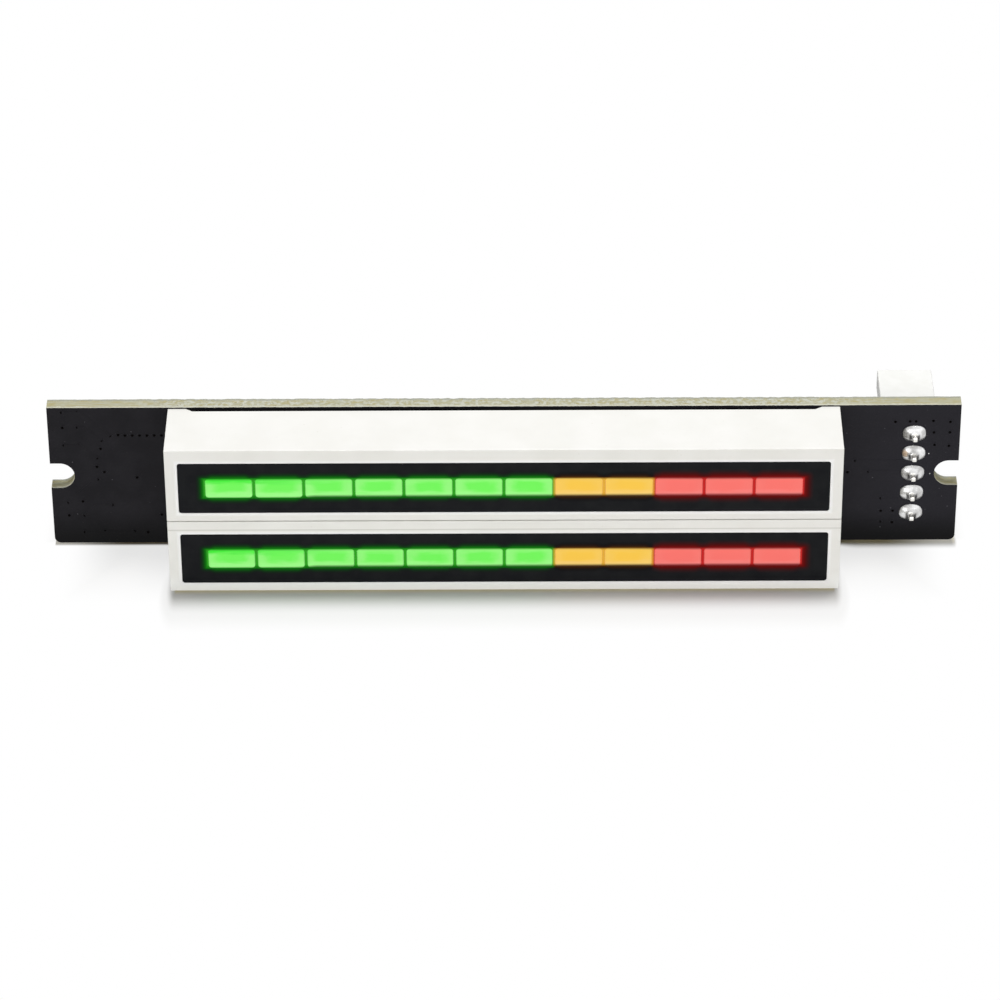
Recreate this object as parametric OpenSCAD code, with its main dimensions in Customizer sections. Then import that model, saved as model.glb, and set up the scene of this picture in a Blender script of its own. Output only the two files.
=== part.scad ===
// Two-channel LED level meter module.
// A black circuit board stands on edge, with two bar displays stacked on its front and the
// electronics on its back. It rests on the bottom face of the lower display.
// X runs along the board, Y from the front to the back and Z up. The origin is the middle of
// the board's front face, on the line between the two screw notches. Lengths are millimetres.

/* [Circuit board] */
// Bare board beyond each end of the displays
board_end = 12.75; // [11.75:0.25:25]
// Height of the board
board_h = 17.2; // [16:0.2:30]
// Thickness of the board
board_t = 1.6; // [1:0.2:2.4]
// Rounding of the two lower corners
board_corner_r = 0.7; // [0.2:0.1:2]
// Width of the U notch in each end
notch_w = 3.1; // [2:0.1:4.4]
// Depth of the U notch, from the end of the board to the bottom of the U
notch_depth = 2.55; // [2.25:0.05:2.7]

/* [Displays] */
// Length of one display
display_l = 70.5; // [62:0.5:120]
// Height of one display
display_h = 8.8; // [8:0.1:12]
// Gap between the upper and the lower display
display_gap = 0.1; // [0.05:0.05:0.5]
// Distance from the board's face to the front of the displays
display_depth = 8; // [7.2:0.1:12]
// How far the middle of the pair lies below the middle of the board
display_drop = 0.45; // [0:0.05:0.8]
// Air gap behind the displays, between their end feet
rear_relief = 0.5; // [0.2:0.1:1]
// Length of an end foot where it meets the board
foot_l = 1.85; // [1:0.05:2.5]
// Thickness of the end walls of a housing
end_wall = 2.6; // [1.5:0.1:2.8]
// Thickness of the top and bottom walls of a housing
side_wall = 0.8; // [0.5:0.1:1.2]
// Depth of the light wells, from the front
well_depth = 4.8; // [3:0.1:5]
// How much a light well narrows on each side, from its window to its back
well_draft = 0.5; // [0.1:0.05:0.8]

/* [Black face and segments] */
// White border at each end of the black film
film_border = 1.3; // [0.6:0.1:2.2]
// Height of the black film
film_h = 6.2; // [4:0.1:7]
// Thickness of the black film
film_t = 0.15; // [0.1:0.05:0.5]
// How far the film lies below the middle of its display
film_drop = 0.3; // [0:0.05:0.5]
// Corner rounding of the film
film_corner_r = 0.3; // [0.1:0.05:1]
// Black left on the film at each end of its row of segments
film_margin = 2.85; // [1.5:0.05:6]
// Segments in one display
segment_n = 12; // [8:1:14]
// Green segments, from the left
green_n = 7; // [2:1:7]
// Amber segments, after the green ones
amber_n = 2; // [1:1:3]
// Gap between two segments
segment_gap = 0.3; // [0.2:0.05:0.8]
// Height of a segment
segment_h = 2.35; // [1.8:0.05:4]

/* [Inside a display] */
// Side of a light-emitting chip
die_w = 0.35; // [0.2:0.05:0.6]
// Thickness of a light-emitting chip
die_t = 0.25; // [0.1:0.05:0.4]
// Thickness of the small board that carries the chips
die_board_t = 0.8; // [0.7:0.1:1]
// Gap round the edge of that board
die_board_gap = 0.1; // [0.05:0.05:0.3]
// How far the resin fill stops short of the housing's back
resin_recess = 0.3; // [0.1:0.1:0.6]
// Distance from the end of a display to its first pin
display_pin_inset = 4.77; // [3.5:0.01:8]
// Side of a display pin
display_pin_w = 0.5; // [0.3:0.05:0.55]
// How deep a display pin reaches into its chip board
display_pin_embed = 0.6; // [0.3:0.1:0.6]
// How far a display pin stands out of the board's back
display_pin_tail = 1.2; // [0.9:0.1:2]
// Diameter of the board's holes for the display pins
display_hole_d = 0.8; // [0.8:0.05:1.1]
// Diameter of a rear solder joint
display_joint_d = 1.8; // [1.4:0.1:2]
// Height of a rear solder joint
display_joint_h = 0.9; // [0.5:0.1:0.9]

/* [Connector] */
// Contacts in the connector
contact_n = 5; // [3:1:5]
// Spacing of the contacts
contact_pitch = 2.5; // [2:0.1:2.7]
// Distance from the end of the board to the row of contacts
contact_inset = 4.8; // [4.7:0.05:5.4]
// Side of a contact pin
contact_w = 0.5; // [0.4:0.02:0.7]
// How far a contact pin stands out of the board's front
contact_front = 1.4; // [1:0.1:3]
// How far a contact pin stops short of the shell's rim
contact_recess = 1.2; // [0.5:0.1:2]
// Diameter of the board's holes for the contacts
contact_hole_d = 1.0; // [1:0.05:1.2]
// Length of a front solder joint, along the board
contact_joint_l = 2.57; // [2.2:0.01:3]
// Height of a front solder joint, across the board
contact_joint_w = 2.03; // [1.5:0.01:2.1]
// How far a front solder joint climbs up its pin
contact_joint_h = 0.65; // [0.4:0.05:0.9]
// Height of the shell above the board
shell_h = 7; // [5:0.1:9]
// Shell beyond the last contact, at each end
shell_end = 2.45; // [1.8:0.05:3]
// Shell from the row of contacts to its side near the notch
shell_near = 2.25; // [1.8:0.05:2.25]
// Shell from the row of contacts to its far side
shell_far = 3.5; // [2.5:0.05:3.8]
// Thickness of the shell's walls
shell_wall = 0.8; // [0.5:0.05:1]
// Thickness of the shell's floor
shell_floor = 1.6; // [1:0.1:2.5]
// Width of the two keying slots in the shell's far wall
key_slot_w = 1.6; // [1:0.1:2.2]
// Depth of a keying slot, down from the rim
key_slot_h = 4.4; // [2:0.1:5]
// Distance from the end of the shell to the middle of a keying slot
key_slot_inset = 3.1; // [2.6:0.1:3.4]

/* [Push switches] */
// Side of a switch
switch_w = 6; // [5:0.1:6.2]
// Height of the switch base
switch_base_h = 3; // [2.8:0.1:3.6]
// Distance from the end of the displays to the middle of the mode switch
mode_switch_inset = 14.25; // [12:0.25:16]
// Spacing of the two switches
switch_pitch = 12; // [10:0.5:14]
// Thickness of the steel cover
cover_t = 0.3; // [0.2:0.05:0.4]
// Width of the cover's side clips
clip_w = 2; // [1:0.1:3]
// Length of the cover's side clips
clip_l = 1.8; // [1:0.1:2.4]
// Diameter of the plunger
plunger_d = 3.5; // [3:0.1:3.8]
// Gap all round the plunger, in the cover's hole
plunger_gap = 0.1; // [0.05:0.05:0.2]
// Height of the plunger's top above the board
plunger_top = 5; // [4.3:0.1:8]
// How much the plunger's flange overlaps the cover, on each side
flange_lip = 0.3; // [0.15:0.05:0.4]
// Thickness of the plunger's flange
flange_t = 0.6; // [0.4:0.05:0.7]
// Gap between the flange and the cover
flange_gap = 0.05; // [0.03:0.01:0.1]
// Travel of the plunger
plunger_travel = 0.25; // [0.1:0.05:0.3]
// Diameter of the nub that presses the dome
nub_d = 1.2; // [0.8:0.1:2]
// Thickness of the base's floor, under the dome
switch_floor = 1.4; // [1:0.1:1.5]
// Rise of the snap dome
dome_rise = 0.45; // [0.35:0.05:0.5]
// Thickness of the snap dome
dome_t = 0.08; // [0.05:0.01:0.12]
// Gap round the flange and the snap dome
pocket_gap = 0.1; // [0.05:0.05:0.2]
// How far a switch terminal reaches out of the base
switch_lead_reach = 1.4; // [1:0.1:1.6]
// Height at which a switch terminal leaves the base
switch_lead_up = 0.9; // [0.5:0.1:1.2]
// Width of a switch terminal
switch_lead_w = 0.7; // [0.4:0.05:1]
// Thickness of a switch terminal
switch_lead_t = 0.15; // [0.1:0.01:0.2]
// Length of a switch terminal's flat foot
switch_lead_foot = 0.8; // [0.4:0.1:0.9]
// Spacing of the two terminals on one side of a switch
switch_lead_pitch = 4.5; // [3.5:0.1:4.6]

/* [Microcontroller] */
// Side of the square package
chip_w = 7; // [5:0.1:7.4]
// Thickness of the package
chip_t = 1.4; // [1:0.1:1.8]
// Gap under the package
chip_standoff = 0.1; // [0.05:0.05:0.2]
// Leads on each side of the package
chip_lead_n = 8; // [4:1:8]
// Spacing of the leads
chip_lead_pitch = 0.8; // [0.65:0.05:0.85]
// Width of a lead
chip_lead_w = 0.37; // [0.2:0.01:0.45]
// Thickness of a lead
chip_lead_t = 0.15; // [0.1:0.01:0.2]
// How far a lead reaches out of the package
chip_lead_reach = 1; // [0.8:0.05:1.3]
// Length of a lead's flat foot
chip_lead_foot = 0.5; // [0.3:0.05:0.6]
// Distance from the end of the board to the middle of the package
chip_inset = 9.3; // [8.6:0.1:10]
// Diameter of the pin one dimple
dimple_d = 0.8; // [0.4:0.1:1.2]
// Depth of the pin one dimple
dimple_depth = 0.1; // [0.05:0.05:0.2]
// Distance from the sides of the package to the middle of the dimple
dimple_inset = 0.8; // [0.7:0.1:1.5]
// Distance of the small chips above and below from the tips of its leads
chip_row_gap = 1.8; // [1.4:0.1:2]
// Spacing of those small chips
chip_row_pitch = 2.9; // [2.7:0.1:3.1]

/* [Power supply] */
// Distance from the end of the board to the middle of the supply parts
supply_inset = 12.4; // [12.2:0.1:13]
// Side of the reservoir capacitor's base
can_base_w = 5.3; // [5.1:0.1:5.8]
// Thickness of that base
can_base_t = 0.9; // [0.6:0.1:1.4]
// Chamfer on two corners of that base
can_base_chamfer = 1; // [0.5:0.1:1.5]
// Diameter of the capacitor's can
can_d = 5; // [4:0.1:5]
// Height of the can's top above the board
can_top = 5.4; // [4.5:0.1:8]
// Depth of the groove rolled into the can
can_groove = 0.25; // [0.1:0.05:0.4]
// Height of the can's groove above the base
can_groove_up = 0.7; // [0.5:0.1:1]
// Width of a capacitor terminal
can_terminal_w = 0.65; // [0.4:0.05:1]
// How far a capacitor terminal shows beyond the base
can_terminal_reach = 0.5; // [0.2:0.05:0.7]
// Height of the capacitor's middle above the board's middle
can_z = 0.2; // [-0.6:0.1:0.3]
// Thickness of a capacitor terminal
can_terminal_t = 0.12; // [0.08:0.01:0.2]
// Gap between the two capacitor terminals, under the base
can_terminal_gap = 1.8; // [1:0.1:2.4]
// Length of the regulator's body
regulator_l = 4.5; // [4:0.1:4.8]
// Width of the regulator's body
regulator_w = 2.5; // [2.2:0.1:2.6]
// Thickness of the regulator's body
regulator_t = 1.5; // [1.2:0.1:1.8]
// Thickness of its leads and tab
regulator_lead_t = 0.4; // [0.2:0.05:0.5]
// Width of a regulator lead
regulator_lead_w = 0.45; // [0.3:0.05:0.6]
// Spacing of the regulator's leads
regulator_lead_pitch = 1.5; // [1.2:0.1:1.7]
// Length of a regulator lead
regulator_lead_l = 1; // [0.6:0.1:1.2]
// Width of the regulator's tab
regulator_tab_w = 1.7; // [1.2:0.1:2.5]
// Length of the regulator's tab
regulator_tab_l = 0.6; // [0.3:0.1:0.8]
// Height of the regulator's middle above the board's middle
regulator_z = 5.4; // [5.2:0.1:6]
// Length of the diode's body
diode_l = 4.3; // [3.8:0.1:4.6]
// Width of the diode's body
diode_w = 2.6; // [2.2:0.1:2.9]
// Top of the diode's body above the board
diode_top = 2.2; // [1.8:0.1:2.5]
// Width of the diode's terminals
diode_terminal_w = 1.4; // [1:0.1:1.8]
// Thickness of the diode's terminals
diode_terminal_t = 0.2; // [0.15:0.05:0.3]
// How far a diode terminal stands out of the body
diode_terminal_reach = 0.35; // [0.25:0.05:0.5]
// Length of a diode terminal's foot, under the body
diode_terminal_foot = 0.7; // [0.4:0.1:1.2]
// Height of the diode's middle above the board's middle
diode_z = -5.8; // [-6.4:0.1:-5.4]

/* [Small chips] */
// Length of a chip resistor
resistor_l = 1.6; // [1.2:0.1:2]
// Width of a chip resistor
resistor_w = 0.8; // [0.5:0.05:1.1]
// Thickness of a chip resistor
resistor_t = 0.45; // [0.3:0.05:0.6]
// Length of a resistor's end cap
resistor_cap_l = 0.3; // [0.2:0.05:0.4]
// Spacing of the segment resistors
resistor_pitch = 1.8; // [1.5:0.1:1.9]
// First segment resistor, to the right of the board's middle seen from the front
resistor_x = 1.5; // [0:0.5:2.5]
// Length of a ceramic capacitor
capacitor_l = 2; // [1.6:0.1:2.4]
// Width of a ceramic capacitor
capacitor_w = 1.25; // [0.8:0.05:1.5]
// Thickness of a ceramic capacitor
capacitor_t = 0.9; // [0.6:0.05:1.25]
// Length of a capacitor's end cap
capacitor_cap_l = 0.4; // [0.25:0.05:0.5]
// Length of a transistor's body
transistor_l = 2.9; // [2.5:0.1:3.1]
// Width of a transistor's body
transistor_w = 1.3; // [1.1:0.05:1.5]
// Thickness of a transistor's body
transistor_t = 1; // [0.8:0.05:1.2]
// How far a transistor's lead reaches out of its body
transistor_lead_reach = 0.55; // [0.45:0.05:0.6]
// Width of a transistor's lead
transistor_lead_w = 0.4; // [0.3:0.05:0.5]
// Spacing of the transistor's paired leads
transistor_lead_pitch = 1.9; // [1.6:0.1:2]
// Thickness of a transistor's lead
transistor_lead_t = 0.12; // [0.08:0.01:0.2]
// Length of the flat foot of a transistor's lead
transistor_lead_foot = 0.25; // [0.15:0.05:0.35]
// Gap under a transistor's body
transistor_standoff = 0.1; // [0.05:0.05:0.2]
// Distance from the last segment resistor to the transistors
transistor_gap = 4.2; // [3:0.1:4.5]
// Distance of each transistor above and below the middle of the display pins
transistor_up = 1.65; // [1.5:0.05:1.8]
// Distance of the upper row of small chips from the solder joints below it
strip_gap = 1.9; // [1.6:0.1:2]
// Distance of the lower row of small chips from the solder joints above it
foot_gap = 1.5; // [1.3:0.1:1.7]

/* [Hidden] */
$fn = 48;
bite = 0.5; // how far a cutting shape runs past the face that it opens

board_l = display_l + 2 * board_end;
notch_r = notch_w / 2;
notch_x = board_l / 2 - notch_depth + notch_r; // middle of the round end of a notch

// Distances marked as depth run forward from the board's face
upper = 1;
lower = -1;
display_step = display_h + display_gap;
pair_z = -display_drop; // the line between the two displays
well_back = display_depth - well_depth; // depth of the back of the light wells
die_board_back = well_back - die_board_t;
resin_back = rear_relief + resin_recess;
cavity_l = display_l - 2 * end_wall;
cavity_h = display_h - 2 * side_wall;

film_l = display_l - 2 * film_border;
row_l = film_l - 2 * film_margin;
segment_pitch = (row_l + segment_gap) / segment_n;
segment_w = segment_pitch - segment_gap;
amber_end = green_n + amber_n;

display_pin_n = segment_n + 1; // one for each segment and a common
display_pin_pitch = (display_l - 2 * display_pin_inset) / (display_pin_n - 1);
contact_x = board_l / 2 - contact_inset;
contact_span = (contact_n - 1) * contact_pitch;
shell_l = contact_span + 2 * shell_end;
key_slot_z = shell_l / 2 - key_slot_inset;

mode_at = [mode_switch_inset - display_l / 2, pair_z];
speed_at = [mode_at[0] + switch_pitch, pair_z];
hole_d = plunger_d + 2 * plunger_gap; // the hole in a switch cover
flange_d = hole_d + 2 * flange_lip;
flange_top = switch_base_h - flange_gap;
flange_bottom = flange_top - flange_t;
switch_pocket_d = flange_d + 2 * pocket_gap;
dome_d = flange_d;
dome_top = switch_floor + dome_rise + dome_t;
dome_r = ((dome_d / 2) ^ 2 + dome_rise ^ 2) / (2 * dome_rise); // radius of its inner face

chip_at = [chip_inset - board_l / 2, 0];
supply_x = board_l / 2 - supply_inset;
can_groove_at = can_base_t + can_groove_up;
transistor_x = resistor_x + (segment_n - 1) * resistor_pitch + transistor_gap;

strip_z = pair_z + display_step / 2 + display_joint_d / 2 + strip_gap; // above the upper pins
foot_z = pair_z - display_step / 2 - display_joint_d / 2 - foot_gap; // below the lower pins

// The gaps between display pins, counted from the middle, that have a small chip above or below them
strip_resistor_gaps = [-2, -1];
strip_capacitor_gaps = [-3, 0, 2, 4, 5];
foot_resistor_gap = 4;
foot_capacitor_gap = 5;

// A small chip's place is [x, z, turn], seen from the front
segment_resistors = [for (i = [0:segment_n - 1]) [resistor_x + i * resistor_pitch, pair_z, 90]];
chip_row_z = chip_w / 2 + chip_lead_reach + chip_row_gap;
input_resistors = concat(
    [for (i = [-1:1]) [chip_at[0] + i * chip_row_pitch, chip_row_z, 0]],
    [[chip_at[0] - chip_row_pitch, -chip_row_z, 0]],
    [for (k = strip_resistor_gaps) [pin_gap_x(k), strip_z, 0]],
    [[pin_gap_x(foot_resistor_gap), foot_z, 0]]
);
resistor_places = concat(segment_resistors, input_resistors);
capacitor_places = concat(
    [for (i = [0:1]) [chip_at[0] + i * chip_row_pitch, -chip_row_z, 0]],
    [for (k = strip_capacitor_gaps) [pin_gap_x(k), strip_z, 0]],
    [[pin_gap_x(foot_capacitor_gap), foot_z, 0]]
);
transistor_places = [[transistor_x, pair_z + transistor_up, 0], [transistor_x, pair_z - transistor_up, 0]];

// The middle of a gap between two display pins, by its number from the middle of the board.
function pin_gap_x(k) = (k + 0.5) * display_pin_pitch;

// Puts a shape that is drawn with its depth along Z onto the board's front face.
module on_front(at) {
    translate([at[0], 0, at[1]]) rotate([90, 0, 0]) children();
}

// Puts a shape that is drawn with its height along Z onto the board's back face.
// Its X then runs to the right for a person who looks at the back.
module on_back(at, turn = 0) {
    translate([at[0], board_t, at[1]]) rotate([90, 0, 180]) rotate([0, 0, turn]) children();
}

// Puts a shape onto the front face at the middle line of the upper or the lower display.
module on_display(row) {
    on_front([0, pair_z + row * display_step / 2]) children();
}

// A box that is centred in X and Y and starts at the height z.
module block(w, d, h, z = 0) {
    translate([-w / 2, -d / 2, z]) cube([w, d, h]);
}

// A plate with rounded corners, centred in X and Y.
module rounded_plate(w, d, h, r) {
    linear_extrude(h) {
        square([w - 2 * r, d], center = true);
        square([w, d - 2 * r], center = true);
        for (x = [-1, 1], y = [-1, 1]) translate([x * (w / 2 - r), y * (d / 2 - r)]) circle(r);
    }
}

// An outline in X and Z, made thick along Y and centred on it.
module ribbon(w, outline) {
    rotate([90, 0, 0]) linear_extrude(w, center = true) polygon(outline);
}

// A cranked lead that leaves a body at height h along X and ends in a flat foot.
module cranked_lead(reach, h, w, t, foot) {
    knee = (reach - foot) / 2;
    heel = reach - foot;
    ribbon(w, [
        [0, h - t / 2], [knee - t / 2, h - t / 2], [heel - t / 2, 0], [reach, 0],
        [reach, t], [heel + t / 2, t], [knee + t / 2, h + t / 2], [0, h + t / 2]
    ]);
}

module display_pin_places() {
    for (i = [0:display_pin_n - 1]) {
        translate([(i - (display_pin_n - 1) / 2) * display_pin_pitch, 0, 0]) children();
    }
}

module contact_places() {
    for (i = [0:contact_n - 1]) translate([0, (i - (contact_n - 1) / 2) * contact_pitch, 0]) children();
}

// The board, with its notches and plated holes.
module circuit_board() {
    color([0.12, 0.11, 0.13])
    difference() {
        board_blank();
        for (side = [-1, 1]) translate([side * notch_x, 0, 0]) {
            rotate([90, 0, 0]) cylinder(r = notch_r, h = 2 * board_t + 2 * bite, center = true);
            translate([side * (notch_depth + bite) / 2, 0, 0]) {
                cube([notch_depth + bite, 2 * board_t + 2 * bite, notch_w], center = true);
            }
        }
        for (row = [upper, lower]) on_display(row) display_pin_places() {
            cylinder(d = display_hole_d, h = 2 * board_t + 2 * bite, center = true);
        }
        on_front([contact_x, 0]) contact_places() {
            cylinder(d = contact_hole_d, h = 2 * board_t + 2 * bite, center = true);
        }
    }
}

// The board's outline, square at the top where it was snapped off and rounded at the bottom.
module board_blank() {
    translate([0, board_t, 0]) rotate([90, 0, 0]) linear_extrude(board_t) {
        translate([0, board_corner_r / 2]) square([board_l, board_h - board_corner_r], center = true);
        square([board_l - 2 * board_corner_r, board_h], center = true);
        for (side = [-1, 1]) {
            translate([side * (board_l / 2 - board_corner_r), board_corner_r - board_h / 2]) {
                circle(board_corner_r);
            }
        }
    }
}

// The light wells of segments first to last, each a window that narrows towards the back.
module light_wells(first, last) {
    front = display_depth;
    side = segment_w / 2;
    half = segment_h / 2;
    translate([0, -film_drop, 0]) intersection() {
        for (i = [first:last]) translate([(i - (segment_n - 1) / 2) * segment_pitch, 0, 0]) {
            ribbon(display_h, [
                [-side, front], [side, front],
                [side - well_draft, well_back], [well_draft - side, well_back]
            ]);
        }
        rotate([0, 0, 90]) ribbon(display_l, [
            [-half, front], [half, front],
            [half - well_draft, well_back], [well_draft - half, well_back]
        ]);
    }
}

module face_film_shape(extra = 0) {
    translate([0, -film_drop, display_depth - film_t]) {
        rounded_plate(film_l, film_h, film_t + extra, film_corner_r);
    }
}

module housing(row) {
    color([0.93, 0.93, 0.9])
    on_display(row) difference() {
        union() {
            block(display_l, display_h, display_depth - rear_relief, rear_relief);
            for (side = [0, 1]) mirror([side, 0, 0]) ribbon(display_h, [
                [display_l / 2, 0], [display_l / 2, rear_relief],
                [display_l / 2 - end_wall, rear_relief], [display_l / 2 - foot_l, 0]
            ]);
        }
        face_film_shape(bite);
        light_wells(0, segment_n - 1);
        block(cavity_l, cavity_h, well_back - rear_relief + bite, rear_relief - bite);
    }
}

module face_film(row) {
    color([0.1, 0.1, 0.12])
    on_display(row) difference() {
        face_film_shape();
        light_wells(0, segment_n - 1);
    }
}

module chip_places(first, last) {
    translate([0, -film_drop, well_back]) for (i = [first:last]) {
        translate([(i - (segment_n - 1) / 2) * segment_pitch, 0, 0]) children();
    }
}

// The light bars of one colour, cast round the chips that light them.
module light_bars(row, first, last, tint) {
    color(tint)
    on_display(row) difference() {
        light_wells(first, last);
        chip_places(first, last) block(die_w, die_w, die_t);
    }
}

module green_bars(row) {
    light_bars(row, 0, green_n - 1, [0.45, 0.98, 0.38]);
}

module amber_bars(row) {
    light_bars(row, green_n, amber_end - 1, [0.98, 0.79, 0.3]);
}

module red_bars(row) {
    light_bars(row, amber_end, segment_n - 1, [1, 0.47, 0.45]);
}

module light_chips(row) {
    color([0.85, 0.8, 0.45])
    on_display(row) chip_places(0, segment_n - 1) block(die_w, die_w, die_t);
}

module chip_board(row) {
    color([0.2, 0.45, 0.25])
    on_display(row) difference() {
        block(cavity_l - 2 * die_board_gap, cavity_h - 2 * die_board_gap, die_board_t, die_board_back);
        display_pin_places() {
            block(display_pin_w, display_pin_w, display_pin_embed + bite, die_board_back - bite);
        }
    }
}

module resin_fill(row) {
    color([0.9, 0.88, 0.75])
    on_display(row) difference() {
        block(cavity_l, cavity_h, die_board_back - resin_back, resin_back);
        display_pin_places() {
            block(display_pin_w, display_pin_w, die_board_back - resin_back + 2 * bite, resin_back - bite);
        }
    }
}

module display_pin(extra = 0) {
    tail = board_t + display_pin_tail + extra;
    block(display_pin_w, display_pin_w, tail + die_board_back + display_pin_embed, -tail);
}

module display_pins(row) {
    color([0.75, 0.75, 0.76])
    on_display(row) display_pin_places() display_pin();
}

// A solder fillet's outline: level with the board at its foot, then up along the pin.
function fillet_outline(foot_r, top_r, h, steps = 6) = concat(
    [[0, 0]],
    [for (a = [0:90 / steps:90]) [foot_r - (foot_r - top_r) * sin(a), h * (1 - cos(a))]],
    [[0, h]]
);

// The joints fill the plated holes and rise in a fillet on the back of the board.
module pin_joints(row) {
    color([0.78, 0.79, 0.8])
    on_display(row) difference() {
        display_pin_places() {
            translate([0, 0, -board_t]) cylinder(d = display_hole_d, h = board_t);
            translate([0, 0, -board_t]) mirror([0, 0, 1]) rotate_extrude() {
                polygon(fillet_outline(display_joint_d / 2, display_hole_d / 2, display_joint_h));
            }
        }
        display_pin_places() display_pin(bite);
    }
}

// The white shell that the cable's plug goes into, on the back of the board.
module connector_shell() {
    w = shell_near + shell_far;
    middle = (shell_far - shell_near) / 2;
    color([0.94, 0.94, 0.92])
    on_back([contact_x, 0]) difference() {
        translate([middle, 0, 0]) block(w, shell_l, shell_h);
        translate([middle, 0, 0]) {
            block(w - 2 * shell_wall, shell_l - 2 * shell_wall, shell_h, shell_floor);
        }
        for (side = [-1, 1]) translate([shell_far, side * key_slot_z, shell_h - key_slot_h]) {
            block(2 * shell_wall + bite, key_slot_w, key_slot_h + bite);
        }
        contact_places() block(contact_w, contact_w, shell_floor + 2 * bite, -bite);
    }
}

module contact_pin(extra = 0) {
    front = contact_front + extra;
    block(contact_w, contact_w, front + board_t + shell_h - contact_recess, -front - board_t);
}

module connector_pins() {
    color([0.8, 0.79, 0.76])
    on_back([contact_x, 0]) contact_places() contact_pin();
}

// The oval solder joints on the front, round the ends of the connector's pins.
module connector_joints() {
    stretch = contact_joint_l - contact_joint_w;
    outline = fillet_outline(contact_joint_w / 2, contact_hole_d / 2, contact_joint_h);
    color([0.82, 0.82, 0.82])
    on_front([contact_x, 0]) difference() {
        contact_places() {
            translate([0, 0, -board_t]) cylinder(d = contact_hole_d, h = board_t);
            for (side = [-1, 1]) translate([side * stretch / 2, 0, 0]) rotate_extrude() polygon(outline);
            rotate([90, 0, 90]) linear_extrude(stretch, center = true) {
                polygon(outline);
                mirror([1, 0]) polygon(outline);
            }
        }
        contact_places() {
            block(contact_w, contact_w, board_t + contact_joint_h + 2 * bite, -board_t - bite);
        }
    }
}

// The flat square package of the chip that reads the sound level and lights the segments.
module microcontroller_body() {
    corner = chip_w / 2 - dimple_inset;
    color([0.16, 0.16, 0.17])
    on_back(chip_at) difference() {
        block(chip_w, chip_w, chip_t, chip_standoff);
        translate([-corner, corner, chip_standoff + chip_t - dimple_depth]) {
            cylinder(d = dimple_d, h = dimple_depth + bite);
        }
    }
}

module microcontroller_leads() {
    h = chip_standoff + chip_t / 2;
    color([0.76, 0.76, 0.77])
    on_back(chip_at) for (side = [0:3]) rotate([0, 0, 90 * side]) for (i = [0:chip_lead_n - 1]) {
        translate([chip_w / 2, (i - (chip_lead_n - 1) / 2) * chip_lead_pitch, 0]) {
            cranked_lead(chip_lead_reach, h, chip_lead_w, chip_lead_t, chip_lead_foot);
        }
    }
}

module regulator_body() {
    color([0.15, 0.15, 0.16])
    on_back([supply_x, regulator_z]) difference() {
        block(regulator_l, regulator_w, regulator_t);
        block(regulator_tab_w, regulator_w + bite, regulator_lead_t + bite, -bite);
    }
}

// The tab runs under the body and comes out on one side, and three leads on the other.
module regulator_leads() {
    color([0.76, 0.76, 0.77])
    on_back([supply_x, regulator_z]) {
        translate([0, regulator_tab_l / 2, 0]) {
            block(regulator_tab_w, regulator_w + regulator_tab_l, regulator_lead_t);
        }
        translate([0, -(regulator_w + regulator_lead_l) / 2, 0]) {
            block(regulator_lead_w, regulator_lead_l, regulator_lead_t);
            for (side = [-1, 1]) translate([side * regulator_lead_pitch, 0, 0]) {
                block(regulator_lead_w, regulator_lead_l, regulator_lead_t);
            }
        }
    }
}

// The reservoir capacitor: an aluminium can crimped onto a chamfered plastic base.
module reservoir_base() {
    half = can_base_w / 2;
    cut = half - can_base_chamfer;
    color([0.13, 0.13, 0.14])
    on_back([supply_x, can_z]) difference() {
        linear_extrude(can_base_t) polygon([
            [-cut, -half], [half, -half], [half, half], [-cut, half], [-half, cut], [-half, -cut]
        ]);
        reservoir_terminal_pair();
    }
}

module reservoir_terminal_pair() {
    for (side = [-1, 1]) translate([side * (can_base_w + can_terminal_reach) / 4, 0, 0]) {
        block((can_base_w + can_terminal_reach) / 2, can_terminal_w, can_terminal_t);
    }
}

module reservoir_terminals() {
    color([0.76, 0.76, 0.77])
    on_back([supply_x, can_z]) difference() {
        reservoir_terminal_pair();
        block(can_terminal_gap, can_base_w, can_base_t + bite, -bite);
    }
}

module reservoir_can() {
    r = can_d / 2;
    color([0.8, 0.8, 0.82])
    on_back([supply_x, can_z]) rotate_extrude() polygon([
        [0, can_base_t], [r - can_groove, can_base_t], [r, can_base_t + can_groove],
        [r, can_groove_at - can_groove], [r - can_groove, can_groove_at],
        [r, can_groove_at + can_groove], [r, can_top - can_groove], [r - can_groove, can_top],
        [0, can_top]
    ]);
}

module diode_body() {
    t = diode_terminal_t;
    color([0.15, 0.15, 0.16])
    on_back([supply_x, diode_z]) block(diode_l, diode_w, diode_top - t, t);
}

// Each terminal leaves an end of the body halfway up and folds down and under it.
module diode_terminals() {
    t = diode_terminal_t;
    mid = (diode_top + t) / 2;
    face = diode_l / 2;
    color([0.76, 0.76, 0.77])
    on_back([supply_x, diode_z]) for (side = [0, 1]) mirror([side, 0, 0]) {
        ribbon(diode_terminal_w, [
            [face, mid - t / 2], [face + diode_terminal_reach - t, mid - t / 2],
            [face + diode_terminal_reach - t, t], [face - diode_terminal_foot, t],
            [face - diode_terminal_foot, 0], [face + diode_terminal_reach, 0],
            [face + diode_terminal_reach, mid + t / 2], [face, mid + t / 2]
        ]);
    }
}

module transistor_bodies() {
    color([0.15, 0.15, 0.16])
    for (p = transistor_places) on_back(p, p[2]) {
        block(transistor_l, transistor_w, transistor_t, transistor_standoff);
    }
}

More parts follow.
